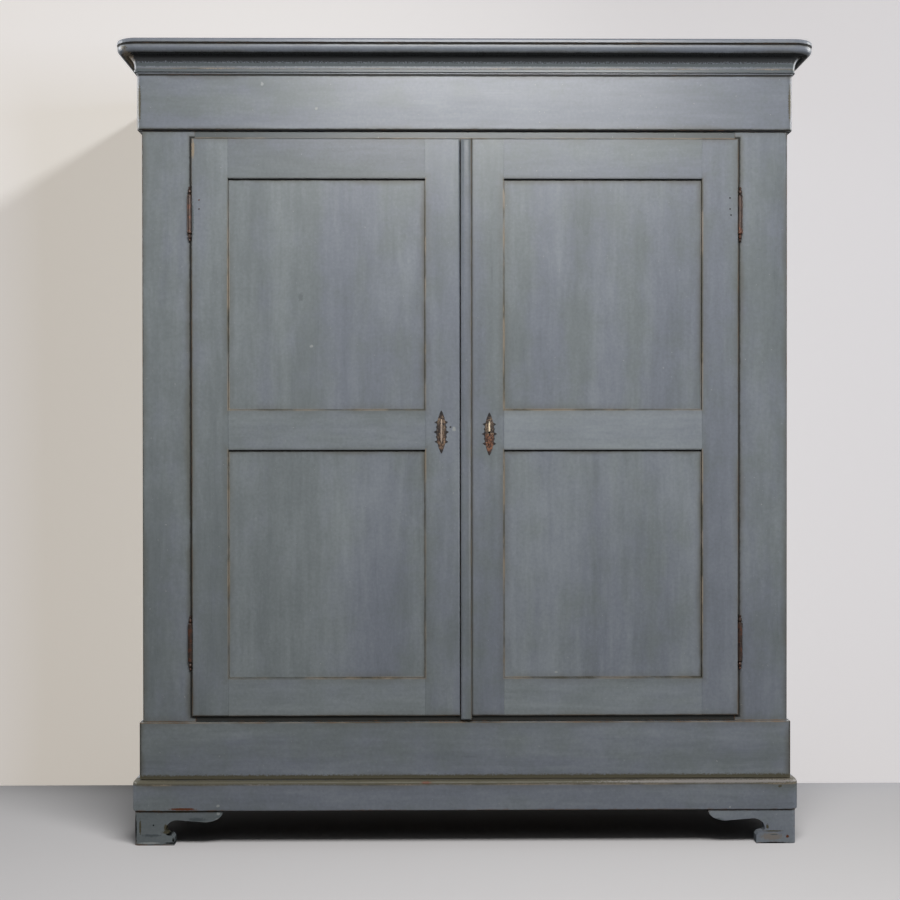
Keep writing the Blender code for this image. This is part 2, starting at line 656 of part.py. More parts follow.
def door_layers(x_inner, x_outer, low, high, edges):
    """Outlines of a door member from face to back. Edges names its sides as free, lapped, grooved or joined.

    A free edge is rounded at the face, and a lapped one also steps in behind the lip. A grooved edge holds a
    panel or a rail, and a joined one ends in a tongue that fills the groove of a stile.
    """
    groove_front = DOOR_FRONT + GROOVE_SETBACK
    groove_back = groove_front + PANEL_GROOVE
    half_turn = DOOR_EDGE_ROUND * (1.0 - math.sqrt(0.5))
    face = [DOOR_FRONT, DOOR_FRONT + half_turn, DOOR_FRONT + DOOR_EDGE_ROUND]
    levels = [*face, LIP_BACK, LIP_BACK, groove_front, groove_front, groove_back, groove_back, DOOR_BACK]
    lap = DOOR_LIP + DOOR_CLEAR
    rounded = [DOOR_EDGE_ROUND, half_turn]
    tongue = GROOVE_DEPTH - CLEAR
    draw_in = {
        "free": rounded + [0.0] * 8,
        "lapped": rounded + [0.0] * 2 + [lap] * 6,
        "grooved": [0.0] * 6 + [GROOVE_DEPTH] * 2 + [0.0] * 2,
        "joined": [CLEAR] * 6 + [-tongue] * 2 + [CLEAR] * 2,
    }
    slack = [0.0] * 6 + [CLEAR, -CLEAR] + [0.0] * 2
    joined = "joined" in (edges["inner"], edges["outer"])
    outlines = []
    for place, level in enumerate(levels):
        y = level + (slack[place] if joined else 0.0)
        x0 = x_inner + draw_in[edges["inner"]][place]
        x1 = x_outer - draw_in[edges["outer"]][place]
        z0 = low + draw_in[edges["low"]][place]
        z1 = high - draw_in[edges["high"]][place]
        outlines.append([(x0, y, z0), (x1, y, z0), (x1, y, z1), (x0, y, z1)])
    return outlines


def mirrored_x(outlines, sign):
    return [[(sign * x, y, z) for x, y, z in outline] for outline in outlines]


def door_spans(sign, edge, meeting_width):
    """Places along the door, measured outwards from the cupboard's middle: its edges and its two stiles."""
    meeting = sign * edge
    return meeting, meeting + meeting_width, DOOR_OUTER - STILE_WIDTH, DOOR_OUTER


def rail_levels():
    mid_low = OPENING_LOW - DOOR_LIP + MID_RAIL_ABOVE_SILL
    return {
        "bottom_rail": (DOOR_LOW, DOOR_LOW + BOTTOM_RAIL_HEIGHT),
        "mid_rail": (mid_low, mid_low + MID_RAIL_HEIGHT),
        "top_rail": (DOOR_HIGH - TOP_RAIL_HEIGHT, DOOR_HIGH),
    }


def add_door(side, sign, edge, meeting_width, axis):
    """Stiles run the full height, the rails are tongued into them, and two panels float in the grooves."""
    start, stile_end, stile_start, end = door_spans(sign, edge, meeting_width)
    upright = {"low": "lapped", "high": "lapped"}
    meeting_edges = {"inner": "free", "outer": "grooved", **upright}
    hinge_edges = {"inner": "grooved", "outer": "lapped", **upright}
    meeting = door_layers(start, stile_end, DOOR_LOW, DOOR_HIGH, meeting_edges)
    hinge = door_layers(stile_start, end, DOOR_LOW, DOOR_HIGH, hinge_edges)
    pieces = {
        "meeting_stile": add_piece(f"{side}_meeting_stile", loft(mirrored_x(meeting, sign)), "paint", axis),
        "hinge_stile": add_piece(f"{side}_hinge_stile", loft(mirrored_x(hinge, sign)), "paint", axis),
    }
    across = {"inner": "joined", "outer": "joined"}
    kinds = {
        "bottom_rail": {"low": "lapped", "high": "grooved", **across},
        "mid_rail": {"low": "grooved", "high": "grooved", **across},
        "top_rail": {"low": "grooved", "high": "lapped", **across},
    }
    levels = rail_levels()
    for name, (low, high) in levels.items():
        rail = door_layers(stile_end, stile_start, low, high, kinds[name])
        pieces[name] = add_piece(f"{side}_{name}", loft(mirrored_x(rail, sign)), "paint", axis)
    openings = {
        "lower_panel": (levels["bottom_rail"][1], levels["mid_rail"][0]),
        "upper_panel": (levels["mid_rail"][1], levels["top_rail"][0]),
    }
    for name, (low, high) in openings.items():
        panel = panel_layers(stile_end, stile_start, low, high)
        pieces[name] = add_piece(f"{side}_{name}", loft(mirrored_x(panel, sign)), "paint", axis)
    return pieces


def panel_layers(x_low, x_high, z_low, z_high):
    """A flat panel whose thinned edge stands in the grooves round it."""
    face = DOOR_FRONT + PANEL_RECESS
    groove_front = DOOR_FRONT + GROOVE_SETBACK + CLEAR
    groove_back = groove_front + PANEL_GROOVE - 2 * CLEAR
    tongue = -(GROOVE_DEPTH - CLEAR)
    flat = PANEL_SHADOW_GAP
    edge = [(groove_front, flat), (groove_front, tongue), (groove_back, tongue), (groove_back, flat)]
    steps = [(face, flat), *edge, (face + PANEL_THICKNESS, flat)]
    outlines = []
    for y, inset in steps:
        x0, x1, z0, z1 = x_low + inset, x_high - inset, z_low + inset, z_high - inset
        outlines.append([(x0, y, z0), (x1, y, z0), (x1, y, z1), (x0, y, z1)])
    return outlines


def add_astragal(axis):
    """Half-round strip on the right door, flush with its meeting edge and rounded over at both ends."""
    face = DOOR_FRONT - CLEAR
    middle = RIGHT_DOOR_EDGE + ASTRAGAL_WIDTH / 2
    low, high = DOOR_LOW - ASTRAGAL_DROP, DOOR_HIGH - ASTRAGAL_TOP_SETBACK
    full = [(low + ASTRAGAL_END_ROUND, 1.0), (high - ASTRAGAL_END_ROUND, 1.0)]
    outlines = []
    for z, share in ((low, ASTRAGAL_END_SHARE), *full, (high, ASTRAGAL_END_SHARE)):
        radii = (ASTRAGAL_WIDTH / 2, ASTRAGAL_REACH * share)
        bow = arc((middle, face), radii, 180.0, 360.0, ASTRAGAL_STEPS)
        outlines.append([(x, y, z) for x, y in bow])
    shade_round(add_piece("astragal", loft(outlines), "paint", axis))


def finial(sign, end):
    """Turned finial beyond the end of a barrel, upwards for sign 1 and downwards for sign -1."""
    turns = FINIAL_LOWER_TURNS + FINIAL_UPPER_TURNS
    return [(BARREL_RADIUS * radius, end + sign * FINIAL_HEIGHT * height) for height, radius in turns]


def add_hinges(axes):
    """The frame half carries the pin; the door half turns on it, bored from below."""
    bore = PIN_RADIUS / math.cos(math.pi / HINGE_SEGMENTS) + PIN_CLEAR
    for side, sign in (("left", -1), ("right", 1)):
        for storey, middle in hinge_heights().items():
            pin_top = middle + PIN_LENGTH
            seat = middle - CLEAR / 2
            pin = [(0.0, pin_top), (PIN_RADIUS, pin_top), (PIN_RADIUS, seat), (BARREL_RADIUS, seat)]
            profile = pin + finial(-1, middle - BARREL_HALF)
            name = f"{side}_{storey}_hinge_frame"
            half = add_piece(name, spun(profile, sign * HINGE_X, HINGE_Y, HINGE_SEGMENTS), "iron")
            combine(half, add_helper(f"{name}_leaf", frame_leaf(sign, middle, 0.0)), "UNION")
            shade_round(half)
            mouth = middle + CLEAR / 2
            socket = [(0.0, pin_top + CLEAR), (bore, pin_top + CLEAR), (bore, mouth), (BARREL_RADIUS, mouth)]
            profile = socket + finial(1, middle + BARREL_HALF)
            name = f"{side}_{storey}_hinge_door"
            half = add_piece(name, spun(profile, sign * HINGE_X, HINGE_Y, HINGE_SEGMENTS), "iron", axes[side])
            combine(half, add_helper(f"{name}_leaf", door_leaf(sign, middle, 0.0)), "UNION")
            shade_round(half)


def cut_hinge_seats(stile, side, sign):
    """Hollows in the edge of a hinge stile: a round one for each barrel and a slot for each leaf."""
    radius = BARREL_RADIUS + HINGE_SEAT
    reach = BARREL_HALF + FINIAL_HEIGHT + CLEAR
    hollows = []
    for middle in hinge_heights().values():
        high, low = middle + reach, middle - reach
        profile = [(0.0, high), (radius, high), (radius, low), (0.0, low)]
        hollows.append(spun(profile, sign * HINGE_X, HINGE_Y, HINGE_SEGMENTS * 2))
    combine(stile, add_helper(f"{side}_barrel_seats", merged(hollows)), "DIFFERENCE")
    slots = [door_leaf(sign, middle, CLEAR) for middle in hinge_heights().values()]
    combine(stile, add_helper(f"{side}_door_leaf_slots", merged(slots)), "DIFFERENCE")


def leaf_plate_half_width(z):
    """Half width of the pointed leaf at a height from its middle."""
    share = abs(z) / (LEAF_PLATE_HEIGHT / 2)
    return LEAF_PLATE_HALF_WIDTH * math.cos(share * math.pi / 2) ** LEAF_PLATE_FULLNESS


def leaf_plate_edge():
    """Right edge of the leaf from foot to tip as (width, spike, height), with a spike at each barb."""
    end = LEAF_PLATE_HEIGHT / 2
    edge = []
    for place, share in LEAF_PLATE_BARBS:
        barb = LEAF_PLATE_SPACING * place
        root = LEAF_PLATE_SPIKE_HEIGHT * share ** 0.5
        edge += [(barb - root, 0.0), (barb, LEAF_PLATE_SPIKE * share), (barb + root, 0.0)]
    for share in LEAF_PLATE_TIP_SHARES:
        edge += [(end * share, 0.0), (-end * share, 0.0)]
    return [(leaf_plate_half_width(z), spike, z) for z, spike in sorted(edge)]


def add_escutcheon(side, x, middle, axis):
    """A thin spiked leaf with a raised boss down its middle."""
    end = LEAF_PLATE_HEIGHT / 2
    edge = leaf_plate_edge()
    face = DOOR_FRONT - CLEAR
    plate = face - LEAF_PLATE_THICKNESS
    boss = plate - LEAF_BOSS_THICKNESS
    flat = [(face, 1.0, 1.0), (plate, 1.0, 1.0)]
    raised = [(plate, LEAF_BOSS_SHARE, 0.0), (boss, LEAF_BOSS_TOP_SHARE, 0.0)]
    outlines = []
    for y, share, barbed in flat + raised:
        right = [(share * width + barbed * spike, share * z) for width, spike, z in edge]
        left = [(-width, z) for width, z in reversed(right)]
        outline = [(0.0, -end * share), *right, (0.0, end * share), *left]
        outlines.append([(x + width, y, middle + z) for width, z in outline])
    return add_piece(f"{side}_escutcheon", loft(outlines), "brass", axis)


def keyhole_cutter(x, middle):
    """Round eye above a straight slot, through the escutcheon and into the stile."""
    eye = middle + KEYHOLE_HEIGHT / 2 - KEYHOLE_RADIUS
    foot = middle - KEYHOLE_HEIGHT / 2
    side = KEYHOLE_SLOT / 2
    start = math.degrees(math.acos(side / KEYHOLE_RADIUS))
    round_eye = arc((x, eye), (KEYHOLE_RADIUS, KEYHOLE_RADIUS), -start, 180.0 + start, 10)
    outline = [(x - side, foot), (x + side, foot), *round_eye]
    front = DOOR_FRONT - KEYHOLE_DEPTH
    return add_helper("keyhole", prism(outline, "Y", front, DOOR_FRONT + KEYHOLE_DEPTH))


def add_lock(middle, axis):
    """A pan-shaped case screwed to the back of the meeting stile, and the bolt that it throws."""
    left = RIGHT_DOOR_EDGE + LOCK_EDGE_SETBACK
    right = left + LOCK_WIDTH
    back = DOOR_BACK + CLEAR
    half = LOCK_HEIGHT / 2
    case = block(left, right, back, back + LOCK_THICKNESS, middle - half, middle + half)
    case = add_piece("lock_case", eased(case), "iron", axis)
    lid = back + LOCK_THICKNESS - LOCK_WALL
    room = half - LOCK_WALL
    hollow = block(left + LOCK_WALL, right - LOCK_WALL, back - LOCK_WALL, lid, middle - room, middle + room)
    combine(case, add_helper("lock_hollow", hollow), "DIFFERENCE")
    bolt_front = back + LOCK_BOLT_OFF_DOOR
    bolt_half = LOCK_BOLT_HEIGHT / 2
    bolt_back = bolt_front + LOCK_BOLT_THICKNESS
    slot_half = bolt_half + CLEAR
    slot = block(left - LOCK_WALL, left + 2 * LOCK_WALL, bolt_front - CLEAR, bolt_back + CLEAR,
                 middle - slot_half, middle + slot_half)
    combine(case, add_helper("lock_slot", slot), "DIFFERENCE")
    travel = add_axis("lock_bolt_axis", left, bolt_front, middle)
    end = left + LOCK_BOLT_LENGTH
    bolt = block(left, end, bolt_front, bolt_back, middle - bolt_half, middle + bolt_half)
    add_piece("lock_bolt", eased(bolt, LOCK_WALL / 4), "brass", travel)


def bolt_plan(x, proud):
    """Plan of a bolt plate, or of the plate with a keeper standing over the rod."""
    plate_half = BOLT_PLATE_WIDTH / 2
    keeper_half = BOLT_KEEPER_WIDTH / 2
    low = DOOR_BACK + CLEAR
    plate = low + BOLT_PLATE_THICKNESS
    top = plate + 2 * (BOLT_ROD_RADIUS + BOLT_ROD_CLEAR) + BOLT_KEEPER_WALL if proud else plate
    right = [(plate_half, low), (plate_half, plate), (keeper_half, plate), (keeper_half, top)]
    left = [(-width, y) for width, y in reversed(right)]
    return [(x + width, y) for width, y in right + left]


def add_bolt(name, sign, door_axis):
    """A surface bolt whose rod slides behind the head rail for sign 1 or behind the sill rail for sign -1."""
    x = LEFT_DOOR_EDGE - BOLT_FROM_EDGE
    reach = OPENING_HIGH if sign > 0 else OPENING_LOW
    tip = reach - sign * BOLT_BELOW_OPENING
    outer = tip - sign * BOLT_PLATE_THICKNESS
    first, second = BOLT_KEEPER_LENGTH, BOLT_PLATE_LENGTH - BOLT_KEEPER_LENGTH
    outer_keeper = [(0.0, True), (first, True)]
    inner_keeper = [(second, True), (BOLT_PLATE_LENGTH, True)]
    stations = [*outer_keeper, (first, False), (second, False), *inner_keeper]
    outlines = [[(a, b, outer - sign * drop) for a, b in bolt_plan(x, proud)] for drop, proud in stations]
    case = add_piece(f"{name}_bolt_case", loft(outlines), "iron", door_axis)
    rod_y = DOOR_BACK + CLEAR + BOLT_PLATE_THICKNESS + BOLT_ROD_CLEAR + BOLT_ROD_RADIUS
    hole = BOLT_ROD_RADIUS + BOLT_ROD_CLEAR
    low, high = sorted((tip + sign * hole, tip - sign * (BOLT_PLATE_LENGTH + hole)))
    bore = spun([(0.0, high), (hole, high), (hole, low), (0.0, low)], x, rod_y, HINGE_SEGMENTS)
    combine(case, add_helper(f"{name}_bolt_bore", bore), "DIFFERENCE")
    low, high = sorted((tip, tip - sign * BOLT_ROD_LENGTH))
    chamfer = BOLT_ROD_RADIUS / 4
    upper_end = [(0.0, high), (BOLT_ROD_RADIUS - chamfer, high), (BOLT_ROD_RADIUS, high - chamfer)]
    lower_end = [(BOLT_ROD_RADIUS, low + chamfer), (BOLT_ROD_RADIUS - chamfer, low), (0.0, low)]
    travel = add_axis(f"{name}_bolt_axis", x, rod_y, tip)
    rod = add_piece(f"{name}_bolt_rod", spun(upper_end + lower_end, x, rod_y, HINGE_SEGMENTS), "iron", travel)
    knob_z = outer - sign * BOLT_PLATE_LENGTH / 2
    knob = arc((x, knob_z), (BOLT_KNOB_RADIUS, BOLT_KNOB_RADIUS), 0.0, 315.0, 7)
    combine(rod, add_helper(f"{name}_bolt_knob", prism(knob, "Y", rod_y, rod_y + BOLT_KNOB_REACH)), "UNION")
    for piece in (case, rod):
        shade_round(piece)


def build():
    clear_scene()
    add_base()
    add_sides()
    add_pilasters()
    add_rails()
    add_back()
    add_shelves()
    add_cornice()
    axes = {
        "left": add_axis("left_door_axis", -HINGE_X, HINGE_Y, DOOR_LOW),
        "right": add_axis("right_door_axis", HINGE_X, HINGE_Y, DOOR_LOW),
    }
    left = add_door("left", -1, LEFT_DOOR_EDGE, LEFT_MEETING_STILE, axes["left"])
    right = add_door("right", 1, RIGHT_DOOR_EDGE, RIGHT_MEETING_STILE, axes["right"])
    cut_hinge_seats(left["hinge_stile"], "left", -1)
    cut_hinge_seats(right["hinge_stile"], "right", 1)
    add_hinges(axes)
    add_astragal(axes["right"])
    keyhole_x = RIGHT_DOOR_EDGE + KEYHOLE_FROM_EDGE
    keyhole_z = DOOR_LOW + KEYHOLE_ABOVE_SILL
    left_x = LEFT_DOOR_EDGE - LEFT_ESCUTCHEON_FROM_EDGE
    add_escutcheon("left", left_x, keyhole_z + LEFT_ESCUTCHEON_RISE, axes["left"])
    keyhole = keyhole_cutter(keyhole_x, keyhole_z)
    combine(add_escutcheon("right", keyhole_x, keyhole_z, axes["right"]), keyhole, "DIFFERENCE")
    combine(right["meeting_stile"], keyhole, "DIFFERENCE")
    add_lock(keyhole_z, axes["right"])
    add_bolt("top", 1, axes["left"])
    add_bolt("bottom", -1, axes["left"])


build()
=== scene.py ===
import functools
import math

import bmesh
import bpy
from mathutils import Matrix, Vector


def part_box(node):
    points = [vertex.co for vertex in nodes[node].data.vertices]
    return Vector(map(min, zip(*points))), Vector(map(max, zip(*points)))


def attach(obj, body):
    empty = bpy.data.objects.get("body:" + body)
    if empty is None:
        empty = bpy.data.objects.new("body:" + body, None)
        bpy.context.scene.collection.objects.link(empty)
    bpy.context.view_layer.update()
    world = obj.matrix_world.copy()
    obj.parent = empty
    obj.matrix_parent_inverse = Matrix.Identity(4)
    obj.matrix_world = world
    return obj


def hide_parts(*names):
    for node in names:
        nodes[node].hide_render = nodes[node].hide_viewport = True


# The painted two-door cupboard in a plain studio: its paint, wood, iron and brass, its leaf plates, nails and
# screws. Metres, +Z up, the front faces -Y. Paint and fittings are placed from the boxes of the CAD pieces,
# single marks and nails by their own coordinates.

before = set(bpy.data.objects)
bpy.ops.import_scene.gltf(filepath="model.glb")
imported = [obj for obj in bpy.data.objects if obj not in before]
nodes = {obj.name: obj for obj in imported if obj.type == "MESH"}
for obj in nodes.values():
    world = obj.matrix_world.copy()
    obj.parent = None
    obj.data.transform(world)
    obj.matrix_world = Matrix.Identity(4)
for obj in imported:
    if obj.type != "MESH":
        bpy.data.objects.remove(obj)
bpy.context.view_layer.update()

# Strokes of the brush along each axis: many to the metre across, few along
ALONG_X = (8.0, 70.0, 70.0)
ALONG_Y = (70.0, 8.0, 70.0)
ALONG_Z = (70.0, 70.0, 8.0)

ORIGIN = (0.0, 0.0, 0.0)
BOX_INPUTS = {"Position": ORIGIN, "Low": ORIGIN, "High": (1.0, 1.0, 1.0)}
STROKE_INPUTS = {"Position": ORIGIN, "Along": ALONG_Z, "Seed": 0.0}
FINISH_OUTPUTS = {"Color": "Color", "Roughness": "Float", "Height": "Float"}

# A distance that wear and dirt don't reach, and how many seeds the strokes of the boards have
OUT_OF_REACH = 1.0
SEEDS = 97

# Colours, linear
PAINT_LILAC = (0.191, 0.211, 0.248, 1.0)
PAINT_GREEN = (0.188, 0.213, 0.223, 1.0)
# Thin and thick paint; their colours also paint shade and light on boards given a tone, and shade in the cove
PAINT_THIN_AND_SHADE = (0.100, 0.117, 0.126, 1.0)
PAINT_DULL = (0.148, 0.170, 0.178, 1.0)
PAINT_THICK_AND_LIGHT = (0.315, 0.350, 0.366, 1.0)
# Dark glaze and its thin brown kind, also used as painted shade under proud parts and as painted contact
# shadow
GLAZE_AND_SHADE = (0.006, 0.006, 0.005, 1.0)
THIN_GLAZE_AND_SHADE = (0.092, 0.084, 0.056, 1.0)
WORN_WOOD = (0.150, 0.085, 0.050, 1.0)
WORN_PRIMER = (0.300, 0.245, 0.180, 1.0)
PRIMER_GREY = (0.225, 0.208, 0.193, 1.0)
PALE_FLECK = (0.44, 0.45, 0.43, 1.0)
PALE_CHIP = (0.330, 0.350, 0.350, 1.0)
# Painted shade for the top of the crown's cove, under the ovolo
COVE_SHADE = (0.046, 0.049, 0.052, 1.0)
PINE_LIGHT = (0.400, 0.270, 0.150, 1.0)
PINE_DARK = (0.215, 0.130, 0.066, 1.0)
IRON_DARK = (0.010, 0.008, 0.008, 1.0)
IRON_BROWN = (0.060, 0.036, 0.026, 1.0)
RUST = (0.130, 0.045, 0.022, 1.0)
BRASS_BRIGHT = (0.460, 0.340, 0.210, 1.0)
BRASS_BROWN = (0.070, 0.046, 0.030, 1.0)
COPPER = (0.230, 0.100, 0.055, 1.0)
LEAF_LIGHT = (0.260, 0.185, 0.125, 1.0)
LEAF_BROWN = (0.060, 0.040, 0.032, 1.0)
LEAF_DARK = (0.014, 0.013, 0.014, 1.0)
# The streaks down the leaf plates' bosses: rubbed bronze and a painted highlight
LEAF_STREAK_DULL = (0.340, 0.270, 0.220, 1.0)
LEAF_STREAK_BRIGHT = (0.700, 0.590, 0.420, 1.0)
FLOOR_COLOUR = (0.56, 0.55, 0.55, 1.0)
FLOOR_BOUNCE = (0.08, 0.075, 0.07, 1.0)
FLOOR_GLOW = (0.50, 0.50, 0.50, 1.0)
WALL_COLOUR = (0.80, 0.79, 0.78, 1.0)
WALL_GLOW = (0.46, 0.42, 0.37, 1.0)
WHITE = (1.0, 1.0, 1.0, 1.0)

# Patterns of noise, as (features to the metre, detail, roughness), and for the strokes features to the stroke
SWAY = (2.2, 2.0, 0.55)
FINE_STROKES = (1.0, 5.0, 0.65)
BROAD_STROKES = (0.17, 3.0, 0.55)
HUE_STROKES = (0.10, 3.0, 0.6)
PATCHES = (2.4, 3.0, 0.55)
PLACES = (6.0, 3.0, 0.6)
BLOTCHES = (11.0, 3.0, 0.6)
RAGGED = (55.0, 4.0, 0.7)
GRAIN = (130.0, 2.0, 0.6)
FLECKS = (150.0, 2.0, 0.5)
FINE_RAGGED = (260.0, 3.0, 0.7)
PINE_STAINS = (3.0, 4.0, 0.55)
METAL_PATCHES = (60.0, 3.0, 0.65)
METAL_AREAS = (90.0, 3.0, 0.6)
METAL_PITS = (330.0, 3.0, 0.65)
METAL_GRAIN = (420.0, 4.0, 0.7)

# The finishes. A CHANGE holds the two values of a pattern between which one thing turns into another, a
# SWING how far a pattern swings in all, and other pairs what stands where a pattern is 0 and where it is 1.
SWAY_SWING = 0.012
SPOT_SWING = 1.6
SPOT_CHANGE = (0.55, 1.0)

# The paint's hue, whose strokes are shifted and which drifts from left to right, and its tone: the swings of
# the fine strokes, the grain, the broad strokes, the patches and the blotches
HUE_SHIFT = (3.1, 1.7, 5.3)
HUE_SWING = 0.6
HUE_DRIFT = 0.10
HUE_CHANGE = (0.35, 0.68)
TONE_SWINGS = (0.75, 0.6, 0.9, 0.7, 0.5)
FLECK_CHANGE = (0.735, 0.775)
FLECK_STRENGTH = 0.55

# The paint's tan edges, strong in some places, and its dark glaze lines, which also paint shade under proud
# parts; their widths are shares of Line
PLACE_CHANGE = (0.38, 0.60)
TAN_START = 0.001
TAN_WIDTHS = (0.0025, 0.0055)
TAN_STRENGTHS = (0.40, 0.85)
TAN_CHANGE = (0.4, 0.6)
STAIN_DEPTH = 0.022
STAIN_STRENGTH = 0.30
STAIN_SHARES = (0.3, 1.0)
FRINGE_WIDTHS = (-1.5, 6.5)
FRINGE_STRENGTH = 0.6
LINE_WIDTHS = (0.6, 1.4)
LINE_CORE = 0.5

# Rubbed arrises, then roughness and height
WEAR_DEPTH = 0.022
WEAR_CHANGE = (0.40, 0.58)
WEAR_STRENGTHS = (0.2, 0.9)
BARE_CHANGE = (0.35, 0.6)
PAINT_ROUGHNESS = (0.20, 0.40)
WORN_ROUGHNESS = 0.25
LINE_ROUGHNESS = 0.45
BROAD_HEIGHT = 0.6
WORN_HEIGHT = 1.2
RELIEF = 0.0006
PAINT_BUMP = 0.2
PAINT_GLOSS = 0.30
COMMON_GLOSS = 0.5

# Pine: rings to a feature of the broad strokes, and their share of its colour beside the fine fibres
PINE_RINGS = 9.0
RING_SHARE = 0.55
PINE_STAIN_CHANGE = (0.35, 0.75)
PINE_STAIN_STRENGTH = 0.5
PINE_ROUGHNESS = (0.6, 0.8)

# Metal: the bright colour shows where the noise of its areas passes 1 less Rubbed, give or take the softness
RUBBED_SOFTNESS = 0.12
PATCH_CHANGE = (0.52, 0.62)
PATCH_STRENGTH = 0.8
DIRT_CHANGE = (0.3, 0.75)
DIRT_STRENGTH = 0.45
METAL_ROUGHNESS = (0.25, 0.60)
IRON = {"Bright": IRON_BROWN, "Skin": IRON_DARK, "Patch": RUST, "Rubbed": 0.6}
FASTENING_IRON = {**IRON, "Rubbed": 0.4}
BRASS = {"Bright": BRASS_BRIGHT, "Skin": BRASS_BROWN, "Patch": COPPER, "Rubbed": 0.5}
LEAF_BRONZE = {"Bright": LEAF_LIGHT, "Skin": LEAF_BROWN, "Patch": LEAF_LIGHT, "Rubbed": 0.45}
IRON_NAMES = ("hinge_door", "hinge_frame", "bolt_case", "bolt_rod", "lock_case")

# Distances from the top or the foot of a board, and one beyond every board
QUIRK_DEPTH = 0.0235
FILLET_TOP = 0.0106
PLINTH_TURN = 0.0095
CROWN_SHADE_DROP = 0.0020
UNDER_CAP = 0.0015
FAR = 5.0

# What leaves only the fringe and a thin part of a dark line, glaze and painted shade, on its board
THIN_LINE = 0.0035

# How far wear and dirt reach round onto an edge: the depth of a door's reveal, hardly at all, or all the way
DOOR_REVEAL = 0.009
CORNER = 0.001
ALL_ROUND = 1.0

# Tones of single boards, which paint light and shade where light falls unevenly on them: below 0 darker,
# towards the thin paint's colour, and above 0 lighter, towards the thick paint's colour
RAIL_TONES = {
    "left_bottom_rail": 0.28, "left_mid_rail": 0.08, "left_top_rail": -0.35,
    "right_bottom_rail": 0.28, "right_mid_rail": 0.50, "right_top_rail": -0.08,
}
PANEL_TONES = {"lower": 0.14, "upper": 0.0}
FOOT_TONES = {"left": -0.25, "right": 0.25}

